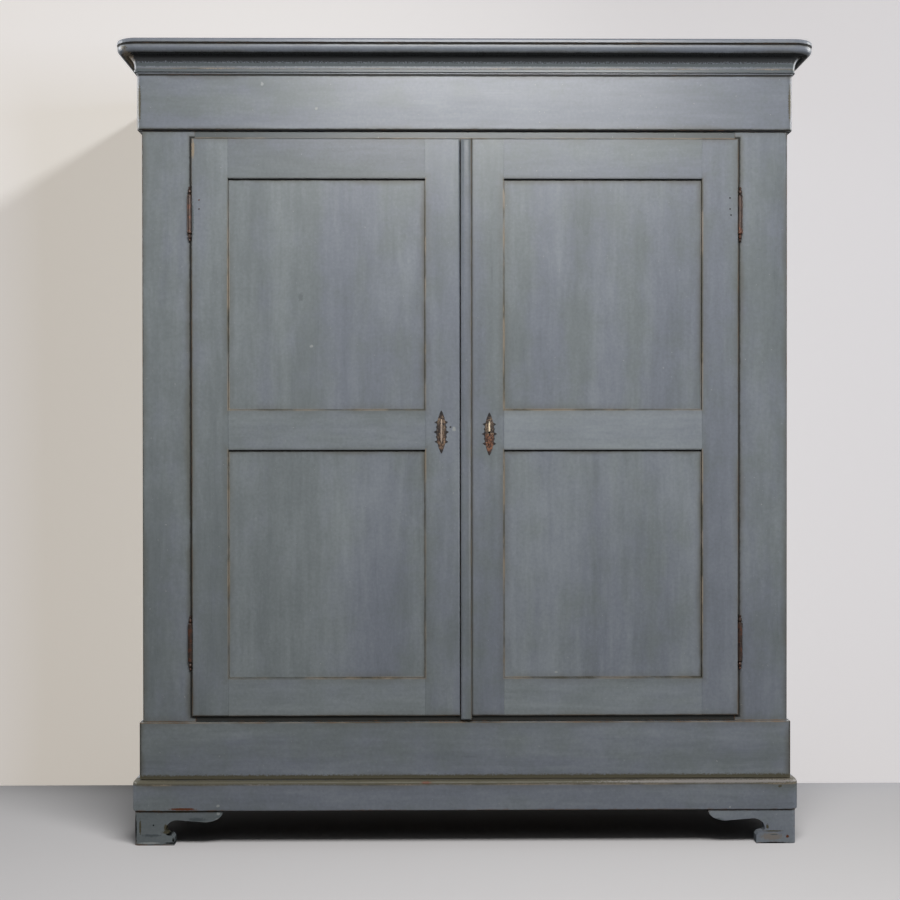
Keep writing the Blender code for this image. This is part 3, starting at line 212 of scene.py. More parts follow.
# Chips, stains, filled holes, painted shade and painted light on single boards, as (x, z, width, height,
# colour)
MARKS = {
    "foot_front_left": (
        (-0.6173, 0.0790, 0.012, 0.010, PALE_CHIP),
        (-0.7789, 0.0505, 0.005, 0.005, GLAZE_AND_SHADE),
        (-0.7480, 0.0440, 0.012, 0.022, THIN_GLAZE_AND_SHADE),
        # A dark strip along the foot's bottom: painted contact shadow
        (-0.7330, 0.0060, 0.040, 0.005, GLAZE_AND_SHADE),
        (-0.7900, 0.0060, 0.060, 0.006, PALE_CHIP),
        (-0.8230, 0.0420, 0.006, 0.080, GLAZE_AND_SHADE),
        (-0.8120, 0.0450, 0.006, 0.050, THIN_GLAZE_AND_SHADE),
        (-0.7420, 0.0330, 0.034, 0.013, THIN_GLAZE_AND_SHADE),
        (-0.7400, 0.0270, 0.016, 0.007, GLAZE_AND_SHADE),
        (-0.7300, 0.0130, 0.006, 0.014, GLAZE_AND_SHADE),
        (-0.7850, 0.0250, 0.060, 0.008, PAINT_THIN_AND_SHADE),
        (-0.6400, 0.0560, 0.046, 0.006, PALE_CHIP),
        (-0.6180, 0.0640, 0.016, 0.010, PALE_CHIP),
        (-0.6700, 0.0640, 0.050, 0.012, PAINT_THIN_AND_SHADE),
        (-0.7100, 0.0840, 0.120, 0.005, THIN_GLAZE_AND_SHADE),
    ),
    "base_front": ((0.0, 0.1640, 8.0, 0.022, THIN_GLAZE_AND_SHADE),),
    "plinth_front": (
        (0.0, 0.1567, 8.0, 0.012, THIN_GLAZE_AND_SHADE),
        (0.6200, 0.1570, 0.700, 0.010, PRIMER_GREY),
        (-0.7050, 0.0920, 0.085, 0.007, RUST),
        (-0.1000, 0.1560, 0.030, 0.007, RUST),
        (-0.6173, 0.0997, 0.010, 0.008, PALE_CHIP),
        (0.7850, 0.1449, 0.012, 0.008, THIN_GLAZE_AND_SHADE),
        (0.6598, 0.0928, 0.007, 0.006, PALE_CHIP),
    ),
    "foot_front_right": (
        (0.7660, 0.0170, 0.066, 0.022, PRIMER_GREY),
        (0.7720, 0.0220, 0.022, 0.003, PAINT_THIN_AND_SHADE),
        (0.7700, 0.0310, 0.060, 0.004, THIN_GLAZE_AND_SHADE),
        # A dark strip along the foot's bottom: painted contact shadow
        (0.7700, 0.0010, 0.085, 0.006, GLAZE_AND_SHADE),
        (0.6300, 0.0600, 0.030, 0.008, PAINT_THIN_AND_SHADE),
        (0.7550, 0.0420, 0.008, 0.016, THIN_GLAZE_AND_SHADE),
        (0.8052, 0.0172, 0.010, 0.010, RUST),
    ),
    "frieze_front": (
        (-0.5064, 1.8974, 0.009, 0.011, PALE_CHIP),
        (-0.3714, 1.8365, 0.008, 0.008, PALE_CHIP),
        # Painted shade on the frieze's rounded ends, with glaze
        (-0.8120, 1.8500, 0.010, 0.110, THIN_GLAZE_AND_SHADE),
        (0.8120, 1.8500, 0.010, 0.110, THIN_GLAZE_AND_SHADE),
    ),
    "crown_front": (
        # Bands across the crown: painted shade of the ovolo down the cove, darkest at its top
        (0.0, 1.9440, 8.0, 0.012, PAINT_THIN_AND_SHADE),
        (0.0, 1.9575, 8.0, 0.021, COVE_SHADE),
        (0.0, 1.9295, 8.0, 0.011, PAINT_THIN_AND_SHADE),
        # Worn primer at the left corner, which also lightens the shaded corner: partly painted light
        (-0.8380, 1.9530, 0.036, 0.044, WORN_PRIMER),
        (-0.8500, 1.9780, 0.040, 0.012, THIN_GLAZE_AND_SHADE),
    ),
    # Worn primer at the corner, which also lightens the shaded corner: partly painted light
    "crown_left": ((-0.8380, 1.9530, 0.036, 0.044, WORN_PRIMER),),
    "left_upper_panel": (
        (-0.3850, 1.2450, 0.012, 0.008, PALE_CHIP),
        (-0.4120, 1.3680, 0.016, 0.024, PAINT_DULL),
    ),
    "left_hinge_stile": (
        (-0.6790, 1.7360, 0.010, 0.060, WORN_PRIMER),
        (-0.6800, 1.5600, 0.008, 0.100, PAINT_THIN_AND_SHADE),
    ),
    "left_meeting_stile": (
        (-0.0377, 1.0428, 0.006, 0.006, GLAZE_AND_SHADE),
        (-0.0290, 1.0380, 0.012, 0.014, PALE_CHIP),
    ),
    "right_lower_panel": ((0.2270, 0.4280, 0.010, 0.006, PALE_CHIP),),
}

# The leaf plates, as the CAD has them: a barb is (place in spacings from the middle, share of a spike)
LEAF_BARBS = ((-1.0, 1.0), (-0.5, 0.35), (0.0, 1.0), (0.5, 0.35), (1.0, 1.0))
LEAF_SPACING = 0.0245
LEAF_SPIKE = 0.0065
LEAF_SPIKE_HEIGHT = 0.004
LEAF_HALF_WIDTH = 0.0125
LEAF_FULLNESS = 0.75
LEAF_THICKNESS = 0.0012
LEAF_EASE = 0.0003
LEAF_RIM_SHARE = 0.985
LEAF_STEPS = 18
LEAF_SHARP = math.radians(30.0)
BOSS_FOOT_SHARE = 0.62
BOSS_TOP_SHARE = 0.37
BOSS_STEPS = 4
KEYHOLE_RADIUS = 0.0026
KEYHOLE_SLOT = 0.0026
KEYHOLE_HEIGHT = 0.013
KEYHOLE_STEPS = 14

# The bronze of the leaf plates: from the middle line outwards, and up or down from the middle
STREAK_CHANGE = (0.0002, 0.0028)
STREAK_END_CHANGE = (0.020, 0.036)
STREAK_FOOT_SOFTNESS = 0.003
RIM_CHANGE = (0.0082, 0.0112)
TIP_CHANGE = (0.040, 0.046)
COPPER_CHANGE = (-0.006, 0.004)
LEAF_SWING = 0.005
RIM_DARKNESS = 0.9
PIT_CHANGE = (0.46, 0.56)
PIT_STRENGTH = 0.85

# The two leaf plates, as (side, has a keyhole, colour and foot of the bright streak, warmth below the middle)
LEAF_PLATES = (
    ("left", False, LEAF_STREAK_DULL, -0.030, 0.15),
    ("right", True, LEAF_STREAK_BRIGHT, 0.002, 0.8),
)

# Heads of nails, pins and screws, as (radius, rise), and how far a nail's or pin's middle stands off its face
NAIL_HEAD = (0.0021, 0.0012)
PIN_HEAD = (0.0013, 0.0010)
LOCK_SCREW_HEAD = (0.0034, 0.0012)
BOLT_SCREW_HEAD = (0.0030, 0.0010)
NAIL_STANDOFF = 0.0002
PIN_STANDOFF = 0.0003
HEAD_SEGMENTS = 20
HEAD_TAPER = 0.86
HEAD_ROUNDING = 0.45
ROUNDING_STEPS = 3

# The slot of a screw, in shares of its radius and its rise, and how level the faces of the top are
SLOT_HALF_WIDTH = 0.16
SLOT_INSIDE = 0.15
SLOT_DEPTH = 0.5
TOP_LEVEL = 0.3

# Nails as (x, z). Pins and screws stand off a middle or in from the edges of the lid and the plates, and
# PLATE_DEPTH is how thick those are
NAILS = ((-0.6640, 1.6087), (-0.6640, 1.5863), (0.6618, 1.6151), (0.6619, 1.5876), (0.6644, 1.5726))
PIN_FROM_MIDDLE = 0.0335
LID_EDGE = 0.008
PLATE_EDGE = 0.006
PLATE_DEPTH = 0.002
SCREW_RISE = 0.036

# The studio: its surfaces, how high the foot of the wall stops light, and where the floor's glow sets in
STAGE_REACH = 12.0
WALL_HEIGHT = 5.0
WALL_Y = 0.3615
WALL_FOOT = 0.16
FLOOR_GLOW_CHANGE = (1.6, 5.0)
FLOOR_ROUGHNESS = 0.6
WALL_ROUGHNESS = 0.9

# The sky's light: where it sets in as the sine of the height above the horizon, and its strength
SKY_CHANGE = (0.3, 0.85)
SKY_STRENGTH = 0.352

# Lamps, as (name, place, target, size, power, colour, spread in degrees, what it lights)
LAMPS = (
    ("key", (0.15, -3.0, 2.70), (0.0, -0.2, 1.0), (1.7, 0.7), 81.0, (1.0, 0.99, 0.98), 180.0, "cupboard"),
    ("low_right", (2.4, -2.6, 0.7), (0.3, -0.2, 0.6), (0.9, 0.6), 11.0, (0.96, 0.98, 1.0), 180.0, "cupboard"),
    ("right", (3.4, 0.3, 2.0), (0.8, 0.0, 1.0), (1.6, 1.6), 62.0, (1.0, 1.0, 1.0), 180.0, "cupboard"),
    ("left", (-3.4, 0.3, 2.0), (-0.8, 0.0, 1.0), (1.6, 1.6), 62.0, (1.0, 1.0, 1.0), 180.0, "cupboard"),
    ("back", (0.4, 3.6, 2.2), (0.0, 0.3, 1.0), (2.0, 1.6), 90.0, (1.0, 1.0, 1.0), 180.0, "cupboard"),
    ("overhead", (0.6, -2.2, 3.9), (0.3, -0.9, 0.0), (2.2, 1.2), 165.0, (1.0, 0.99, 0.99), 180.0, "floor"),
    ("wash", (3.0, -4.5, 1.6), (0.9, WALL_Y, 1.1), (1.6, 1.6), 88.0, (0.63, 0.73, 1.0), 180.0, "wall"),
    ("window", (2.2, -3.1, 3.9), (-2.6, WALL_Y, 1.6), (0.35, 0.35), 9.0, (1.0, 1.0, 1.0), 52.0, "wall"),
)

# The camera's place, its turn as (yaw, pitch, roll) in degrees, and its lens and sensor in millimetres
CAMERA_PLACE = (-0.0773, -3.8505, 1.0095)
CAMERA_TURN = (0.611, -0.386, -0.043)
CAMERA_LENS = 57.47
CAMERA_SENSOR = 36.0


def add(tree, kind, links=None, **settings):
    """Adds a node: settings are its properties, and links its inputs, each a socket or a plain value."""
    node = tree.nodes.new(kind)
    for name, value in settings.items():
        setattr(node, name, value)
    for name, value in (links or {}).items():
        if isinstance(value, bpy.types.NodeSocket):
            tree.links.new(value, node.inputs[name])
        else:
            node.inputs[name].default_value = value
    return node


def calc(tree, operation, first, second=0.0, third=0.0):
    links = {0: first, 1: second}
    if operation == "MULTIPLY_ADD":
        links[2] = third
    return add(tree, "ShaderNodeMath", links, operation=operation).outputs[0]


def vector_calc(tree, operation, first, second=(0.0, 0.0, 0.0)):
    links = {0: first} if operation == "ABSOLUTE" else {0: first, 1: second}
    return add(tree, "ShaderNodeVectorMath", links, operation=operation).outputs[0]


def fade(tree, value, low, high, start=0.0, end=1.0):
    """A soft step: start at low, end at high."""
    links = {"Value": value, "From Min": low, "From Max": high, "To Min": start, "To Max": end}
    return add(tree, "ShaderNodeMapRange", links, interpolation_type="SMOOTHSTEP").outputs[0]


def tint(tree, share, first, second):
    links = {0: share, 6: first, 7: second}
    return add(tree, "ShaderNodeMix", links, data_type="RGBA").outputs[2]


def plus(tree, first, second):
    return calc(tree, "ADD", first, second)


def minus(tree, first, second):
    return calc(tree, "SUBTRACT", first, second)


def times(tree, first, second):
    return calc(tree, "MULTIPLY", first, second)


def fold(tree, operation, values):
    """Joins several values by one operation, from the first to the last."""
    return functools.reduce(lambda joined, value: calc(tree, operation, joined, value), values)


def span(tree, share, low, high):
    """Low where the share is 0 and high where it is 1, in a straight line."""
    return calc(tree, "MULTIPLY_ADD", share, high - low, low)


def swing(tree, pattern, width):
    """A pattern from 0 to 1 turned into a swing about 0."""
    return span(tree, pattern, -width / 2, width / 2)


def length_of(tree, vector):
    return add(tree, "ShaderNodeVectorMath", {0: vector}, operation="LENGTH").outputs["Value"]


def axis_of(tree, vector, number):
    """One coordinate of a vector: 0 for x, 1 for y, 2 for z."""
    return add(tree, "ShaderNodeSeparateXYZ", {0: vector}).outputs[number]


def cloud(tree, place, pattern):
    """Noise from 0 to 1, in one of the patterns above."""
    scale, detail, roughness = pattern
    links = {"Vector": place, "Scale": scale, "Detail": detail, "Roughness": roughness}
    return add(tree, "ShaderNodeTexNoise", links).outputs[0]


def shader_group(name, inputs, outputs):
    """An empty node group with named sockets, its input sockets and its output sockets."""
    tree = bpy.data.node_groups.new(name, "ShaderNodeTree")
    for label, value in inputs.items():
        length = len(value) if isinstance(value, tuple) else 1
        kind = {1: "Float", 3: "Vector", 4: "Color"}[length]
        socket = tree.interface.new_socket(label, in_out="INPUT", socket_type=f"NodeSocket{kind}")
        socket.default_value = value
    for label, kind in outputs.items():
        tree.interface.new_socket(label, in_out="OUTPUT", socket_type=f"NodeSocket{kind}")
    return tree, tree.nodes.new("NodeGroupInput").outputs, tree.nodes.new("NodeGroupOutput").inputs


def finish_group(tree, outputs, sockets):
    for label, socket in sockets.items():
        tree.links.new(socket, outputs[label])
    return tree


def brush_strokes():
    """Fine and broad streaks left by the brush, from 0 to 1."""
    tree, given, made = shader_group("brush_strokes", STROKE_INPUTS, {"Fine": "Float", "Broad": "Float"})
    sway = swing(tree, cloud(tree, given["Position"], SWAY), SWAY_SWING)
    swayed = vector_calc(tree, "ADD", given["Position"], sway)
    place = vector_calc(tree, "ADD", vector_calc(tree, "MULTIPLY", swayed, given["Along"]), given["Seed"])
    return finish_group(tree, made, {
        "Fine": cloud(tree, place, FINE_STROKES),
        "Broad": cloud(tree, place, BROAD_STROKES),
    })


def strokes_in(tree, given, strokes):
    """The fine and the broad strokes, in a group that has their three inputs."""
    links = {label: given[label] for label in STROKE_INPUTS}
    return add(tree, "ShaderNodeGroup", links, node_tree=strokes).outputs


def board_edges():
    """Distance from the nearest arris of a board that fills the box from Low to High."""
    tree, given, made = shader_group("board_edges", BOX_INPUTS, {"Distance": "Float"})
    from_low = vector_calc(tree, "SUBTRACT", given["Position"], given["Low"])
    from_high = vector_calc(tree, "SUBTRACT", given["High"], given["Position"])
    nearest = vector_calc(tree, "MINIMUM", from_low, from_high)
    parts = add(tree, "ShaderNodeSeparateXYZ", {0: vector_calc(tree, "ABSOLUTE", nearest)}).outputs
    both = calc(tree, "MINIMUM", parts[0], parts[1])
    either = calc(tree, "MAXIMUM", parts[0], parts[1])
    middle = calc(tree, "MAXIMUM", both, calc(tree, "MINIMUM", either, parts[2]))
    return finish_group(tree, made, {"Distance": middle})


def recess_edge():
    """Distance in the plane of the front from the border of the box from Low to High, below 0 inside."""
    tree, given, made = shader_group("recess_edge", BOX_INPUTS, {"Distance": "Float"})
    below = vector_calc(tree, "SUBTRACT", given["Low"], given["Position"])
    above = vector_calc(tree, "SUBTRACT", given["Position"], given["High"])
    parts = add(tree, "ShaderNodeSeparateXYZ", {0: vector_calc(tree, "MAXIMUM", below, above)}).outputs
    return finish_group(tree, made, {"Distance": calc(tree, "MAXIMUM", parts[0], parts[2])})


def ragged_spot():
    """A ragged spot in the plane of the front: 1 at its centre, 0 past its half sizes."""
    inputs = {"Position": ORIGIN, "Centre": ORIGIN, "Size": (1.0, 1.0, 1.0)}
    tree, given, made = shader_group("ragged_spot", inputs, {"Mask": "Float"})
    off = vector_calc(tree, "SUBTRACT", given["Position"], given["Centre"])
    off = vector_calc(tree, "DIVIDE", off, given["Size"])
    away = length_of(tree, vector_calc(tree, "MULTIPLY", off, (1.0, 0.0, 1.0)))
    away = plus(tree, away, swing(tree, cloud(tree, given["Position"], FINE_RAGGED), SPOT_SWING))
    return finish_group(tree, made, {"Mask": fade(tree, away, *SPOT_CHANGE, 1.0, 0.0)})


def old_paint(strokes):
    """Satin paint put on by brush and mottled, with old glaze and painted shade in the corners and worn
    arrises.

    Arris, Ledge and Recess are distances: from an edge that is rubbed, from one where the paint has gone tan,
    and from a corner that holds dark glaze in a line as wide as Line, a line that also paints the shade under
    and beside proud parts. Tone, where a board has one, paints light and shade. Cool makes the grey bluer.
    """
    tree, given, made = shader_group(
        "old_paint",
        {**STROKE_INPUTS, "Arris": OUT_OF_REACH, "Ledge": OUT_OF_REACH, "Recess": OUT_OF_REACH, "Wear": 0.5,
         "Glaze": 0.6, "Line": 0.0037, "Tone": 0.0, "Cool": 0.0},
        FINISH_OUTPUTS,
    )
    place = given["Position"]
    fine, broad = strokes_in(tree, given, strokes)
    blotches = cloud(tree, place, BLOTCHES)
    beside = vector_calc(tree, "ADD", vector_calc(tree, "MULTIPLY", place, given["Along"]), HUE_SHIFT)
    hue = fold(tree, "ADD", [
        cloud(tree, beside, HUE_STROKES),
        swing(tree, blotches, HUE_SWING),
        calc(tree, "MULTIPLY_ADD", axis_of(tree, place, 0), HUE_DRIFT, given["Cool"]),
    ])
    colour = tint(tree, fade(tree, hue, *HUE_CHANGE), PAINT_GREEN, PAINT_LILAC)
    patterns = (fine, cloud(tree, place, GRAIN), broad, cloud(tree, place, PATCHES), blotches)
    swings = [swing(tree, pattern, width) for pattern, width in zip(patterns, TONE_SWINGS)]
    # A board's own Tone joins the random tone here: where it is set, it paints light and shade on that board
    tone = fold(tree, "ADD", [*swings, given["Tone"]])
    thin_and_shade = calc(tree, "MAXIMUM", times(tree, tone, -1.0), 0.0)
    colour = tint(tree, calc(tree, "MAXIMUM", tone, 0.0), colour, PAINT_THICK_AND_LIGHT)
    colour = tint(tree, thin_and_shade, colour, PAINT_THIN_AND_SHADE)
    flecks = fade(tree, cloud(tree, place, FLECKS), *FLECK_CHANGE, 0.0, FLECK_STRENGTH)
    colour = tint(tree, flecks, colour, PALE_FLECK)
    ragged = cloud(tree, place, RAGGED)
    places = cloud(tree, place, PLACES)
    some = fade(tree, places, *PLACE_CHANGE)

    # The tan edge: a thin line with a soft stain behind it
    tan_line = fade(tree, given["Ledge"], TAN_START, span(tree, ragged, *TAN_WIDTHS), 1.0, 0.0)
    tan_line = times(tree, tan_line, span(tree, some, *TAN_STRENGTHS))
    stain = fade(tree, given["Ledge"], 0.0, STAIN_DEPTH, STAIN_STRENGTH, 0.0)
    stain = times(tree, stain, span(tree, some, *STAIN_SHARES))
    colour = tint(tree, stain, colour, THIN_GLAZE_AND_SHADE)
    tan = tint(tree, fade(tree, blotches, *TAN_CHANGE), WORN_PRIMER, THIN_GLAZE_AND_SHADE)
    colour = tint(tree, tan_line, colour, tan)

    # Dark glaze in the corners, which also stands for painted shade under and beside proud parts:
    # a crisp line with a brown fringe
    fringe_width = times(tree, given["Line"], span(tree, places, *FRINGE_WIDTHS))
    fringe = fade(tree, given["Recess"], 0.0, fringe_width, FRINGE_STRENGTH, 0.0)
    colour = tint(tree, times(tree, fringe, given["Glaze"]), colour, THIN_GLAZE_AND_SHADE)
    line_width = times(tree, given["Line"], span(tree, ragged, *LINE_WIDTHS))
    line = fade(tree, given["Recess"], times(tree, line_width, LINE_CORE), line_width, 1.0, 0.0)
    line = times(tree, line, given["Glaze"])
    colour = tint(tree, line, colour, GLAZE_AND_SHADE)

    # Rubbed arrises, down to dark old wood
    width = times(tree, calc(tree, "POWER", ragged, 2.0), given["Wear"])
    worn = fade(tree, given["Arris"], 0.0, times(tree, width, WEAR_DEPTH), 1.0, 0.0)
    worn = times(tree, worn, fade(tree, places, *WEAR_CHANGE, *WEAR_STRENGTHS))
    bare = tint(tree, fade(tree, ragged, *BARE_CHANGE), GLAZE_AND_SHADE, WORN_WOOD)
    colour = tint(tree, worn, colour, bare)
    rough = fold(tree, "ADD", [
        span(tree, broad, *PAINT_ROUGHNESS),
        times(tree, worn, WORN_ROUGHNESS),
        times(tree, line, LINE_ROUGHNESS),
    ])
    height = plus(tree, fine, times(tree, broad, BROAD_HEIGHT))
    height = minus(tree, height, times(tree, worn, WORN_HEIGHT))
    return finish_group(tree, made, {"Color": colour, "Roughness": rough, "Height": height})


def old_pine(strokes):
    """Unpainted pine gone brown: growth rings drawn out along the board, with fine fibres."""
    tree, given, made = shader_group("old_pine", STROKE_INPUTS, FINISH_OUTPUTS)
    fine, broad = strokes_in(tree, given, strokes)
    rings = calc(tree, "FRACT", times(tree, broad, PINE_RINGS))
    rings = times(tree, calc(tree, "ABSOLUTE", swing(tree, rings, 2.0)), RING_SHARE)
    share = plus(tree, rings, times(tree, fine, 1.0 - RING_SHARE))
    colour = tint(tree, share, PINE_DARK, PINE_LIGHT)
    stains = cloud(tree, given["Position"], PINE_STAINS)
    stains = fade(tree, stains, *PINE_STAIN_CHANGE, 0.0, PINE_STAIN_STRENGTH)
    colour = tint(tree, stains, colour, PINE_DARK)
    rough = span(tree, fine, *PINE_ROUGHNESS)
    return finish_group(tree, made, {"Color": colour, "Roughness": rough, "Height": fine})


def aged_metal():
    """Metal with a bright colour rubbed clear on a brown skin, and patches of a third colour in it."""
    tree, given, made = shader_group("aged_metal", {"Position": ORIGIN, **BRASS}, FINISH_OUTPUTS)
    place = given["Position"]
    grain = cloud(tree, place, METAL_GRAIN)
    level = minus(tree, 1.0, given["Rubbed"])
    low = minus(tree, level, RUBBED_SOFTNESS)
    high = plus(tree, level, RUBBED_SOFTNESS)
    rubbed = fade(tree, cloud(tree, place, METAL_AREAS), low, high)
    colour = tint(tree, rubbed, given["Skin"], given["Bright"])
    patches = fade(tree, cloud(tree, place, METAL_PATCHES), *PATCH_CHANGE, 0.0, PATCH_STRENGTH)
    colour = tint(tree, patches, colour, given["Patch"])
    colour = tint(tree, fade(tree, grain, *DIRT_CHANGE, DIRT_STRENGTH, 0.0), colour, IRON_DARK)
    rough = span(tree, grain, *METAL_ROUGHNESS)
    return finish_group(tree, made, {"Color": colour, "Roughness": rough, "Height": grain})


# The groups that materials share
STROKES = brush_strokes()
EDGES = board_edges()
RECESS = recess_edge()
SPOT = ragged_spot()
PAINT = old_paint(STROKES)
PINE = old_pine(STROKES)
METAL = aged_metal()


def new_material(name, inputs):
    """A material with a principled shader, whose inputs are set by their labels."""
    material = bpy.data.materials.new(name)
    material.use_nodes = True
    shader = material.node_tree.nodes["Principled BSDF"]
    for label, value in inputs.items():
        shader.inputs[label].default_value = value
    return material, material.node_tree, shader


def material_from(name, group, values, bump, metallic=0.0, gloss=COMMON_GLOSS):
    """A material whose colour, roughness and bump come from a group; its node and place come too."""
    material, tree, shader = new_material(name, {"Metallic": metallic, "Specular IOR Level": gloss})
    place = add(tree, "ShaderNodeTexCoord").outputs["Object"]
    node = add(tree, "ShaderNodeGroup", {"Position": place}, node_tree=group)
    for label, value in values.items():
        node.inputs[label].default_value = value
    links = {"Strength": bump, "Distance": RELIEF, "Height": node.outputs["Height"]}
    bumped = add(tree, "ShaderNodeBump", links)
    tree.links.new(node.outputs["Color"], shader.inputs["Base Color"])
    tree.links.new(node.outputs["Roughness"], shader.inputs["Roughness"])
    tree.links.new(bumped.outputs[0], shader.inputs["Normal"])
    return material, node, place


def set_colour(material, colour):
    material.node_tree.links.new(colour, material.node_tree.nodes["Principled BSDF"].inputs["Base Color"])


def dress(name, material):
    """Gives a CAD node its finish."""
    piece = nodes[name]
    for slot in piece.material_slots:
        slot.material = material


def measured(tree, group, place, low, high):
    """The distance that one of the edge groups gives for the box from low to high."""
    links = {"Position": place, "Low": low, "High": high}
    return add(tree, "ShaderNodeGroup", links, node_tree=group).outputs[0]


def nearest_of(tree, place, rectangles):
    """Distance to the nearest border of several rectangles in the plane of the front."""
    borders = [calc(tree, "ABSOLUTE", measured(tree, RECESS, place, low, high)) for low, high in rectangles]
    return fold(tree, "MINIMUM", borders)


def seed_of(name):
    """A number from a board's name, so that strokes differ from board to board."""
    return float(sum(map(ord, name)) % SEEDS)


def paint_board(
    name, along, arrises=(), ledges=(), recesses=(), depth=DOOR_REVEAL, gloss=PAINT_GLOSS, **finish,
):
    """Gives a CAD board its paint. Its rubbed arrises are its own, unless some are given.

    Arrises, ledges and recesses are rectangles in the plane of the front, whose borders are the edges meant.
    The wear there reaches as far round onto the edge of the board as depth says. The rest of the finish is
    wear, glaze (dark lines that also paint shade), line, tone (which on single boards paints light and shade)
    and cool.
    """
    low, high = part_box(name)
    values = {"Along": along, "Seed": seed_of(name)}
    values.update({label.capitalize(): value for label, value in finish.items()})
    material, node, place = material_from(f"{name}_paint", PAINT, values, PAINT_BUMP, gloss=gloss)
    tree = material.node_tree
    y = axis_of(tree, place, 1)
    behind = calc(tree, "MINIMUM", minus(tree, y, low.y), minus(tree, high.y, y))
    behind = minus(tree, behind, depth)
    for label, rectangles in (("Arris", arrises), ("Ledge", ledges), ("Recess", recesses)):
        if rectangles:
            distance = calc(tree, "MAXIMUM", nearest_of(tree, place, rectangles), behind)
            tree.links.new(distance, node.inputs[label])
    if not arrises:
        tree.links.new(measured(tree, EDGES, place, low, high), node.inputs["Arris"])
    add_marks(material, node, place, MARKS.get(name, ()))
    dress(name, material)


def add_marks(material, paint, place, marks):
    """Chips, stains and painted shade and light at their places on the front, each as (x, z, width, height,
    colour).
    """
    tree = material.node_tree
    colour = paint.outputs["Color"]
    for x, z, width, height, shade in marks:
        links = {"Position": place, "Centre": (x, 0.0, z), "Size": (width / 2, 1.0, height / 2)}
        mask = add(tree, "ShaderNodeGroup", links, node_tree=SPOT).outputs[0]
        colour = tint(tree, mask, colour, shade)
    set_colour(material, colour)


def rectangle(left, right, foot, top):
    """Two corners of a rectangle in the plane of the front; their depth doesn't count."""
    return Vector((left, 0.0, foot)), Vector((right, 0.0, top))


def band(foot, top):
    """A level band across the whole front, as a rectangle whose ends lie far off."""
    return rectangle(-FAR, FAR, foot, top)


def upright_band(left, right):
    return rectangle(left, right, -FAR, FAR)


def opening(side, storey):
    """The rectangle that the stiles and rails of a door leave for a panel."""
    stiles = ("hinge_stile", "meeting_stile") if side == "left" else ("meeting_stile", "hinge_stile")
    rails = ("bottom_rail", "mid_rail") if storey == "lower" else ("mid_rail", "top_rail")
    left, right, below, above = (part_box(f"{side}_{board}") for board in (*stiles, *rails))
    return rectangle(left[1].x, right[0].x, below[1].z, above[0].z)


def door_outline(side):
    """The rectangle of a whole door."""
    boxes = [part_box(f"{side}_{stile}") for stile in ("meeting_stile", "hinge_stile")]
    low, high = boxes[0]
    return rectangle(min(box[0].x for box in boxes), max(box[1].x for box in boxes), low.z, high.z)


def dress_door(side):
    """A door goes tan along its free edges and round the panels, dark with glaze and painted shade in
    corners.
    """
    openings = {storey: opening(side, storey) for storey in ("lower", "upper")}
    lower, upper = openings.values()
    outline = door_outline(side)
    ends = [band(outline[0].z, outline[1].z)]
    # The right meeting stile darkens beside the astragal, and each hinge stile along the door's edge: glaze
    # and painted shade
    astragal_edge = [upright_band(-FAR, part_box("astragal")[1].x)] if side == "right" else ()
    for stile, free, dark in (("meeting_stile", ends, astragal_edge), ("hinge_stile", [outline], [outline])):
        ledges = [*free, lower, upper]
        paint_board(f"{side}_{stile}", ALONG_Z, free, ledges, dark, tone=-0.02, wear=0.4, line=0.003)
    # The mid and top rails darken at their foot above a panel: glaze and painted shade
    for rail, ledge, corners in (
        ("bottom_rail", [outline, lower], ()),
        ("mid_rail", [upper], [lower]),
        ("top_rail", [outline], [upper]),
    ):
        name = f"{side}_{rail}"
        paint_board(name, ALONG_X, [outline], ledge, corners, tone=RAIL_TONES[name], wear=0.4, glaze=0.3)
    for storey, panel in openings.items():
        # Each panel is dark under the rail above it and beside the stile at its right: glaze and painted
        # shade
        corners = [band(-FAR, panel[1].z), upright_band(-FAR, panel[1].x + THIN_LINE)]
        finish = {"wear": 0.0, "glaze": 1.0, "line": 0.0056, "tone": PANEL_TONES[storey]}
        paint_board(f"{side}_{storey}_panel", ALONG_Z, (), [panel], corners, **finish)


def dress_doors():
    for side in ("left", "right"):
        dress_door(side)
    low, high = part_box("astragal")
    edge = upright_band(low.x - FAR, high.x)
    paint_board("astragal", ALONG_Z, (), [edge], [edge], wear=0.4, glaze=0.5, line=0.003, depth=ALL_ROUND)


def levels(name):
    """The heights of a board's foot and top."""
    low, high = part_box(name)
    return low.z, high.z


def upright_ends(name):
    """An upright band as wide as a board."""
    low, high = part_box(name)
    return upright_band(low.x, high.x)


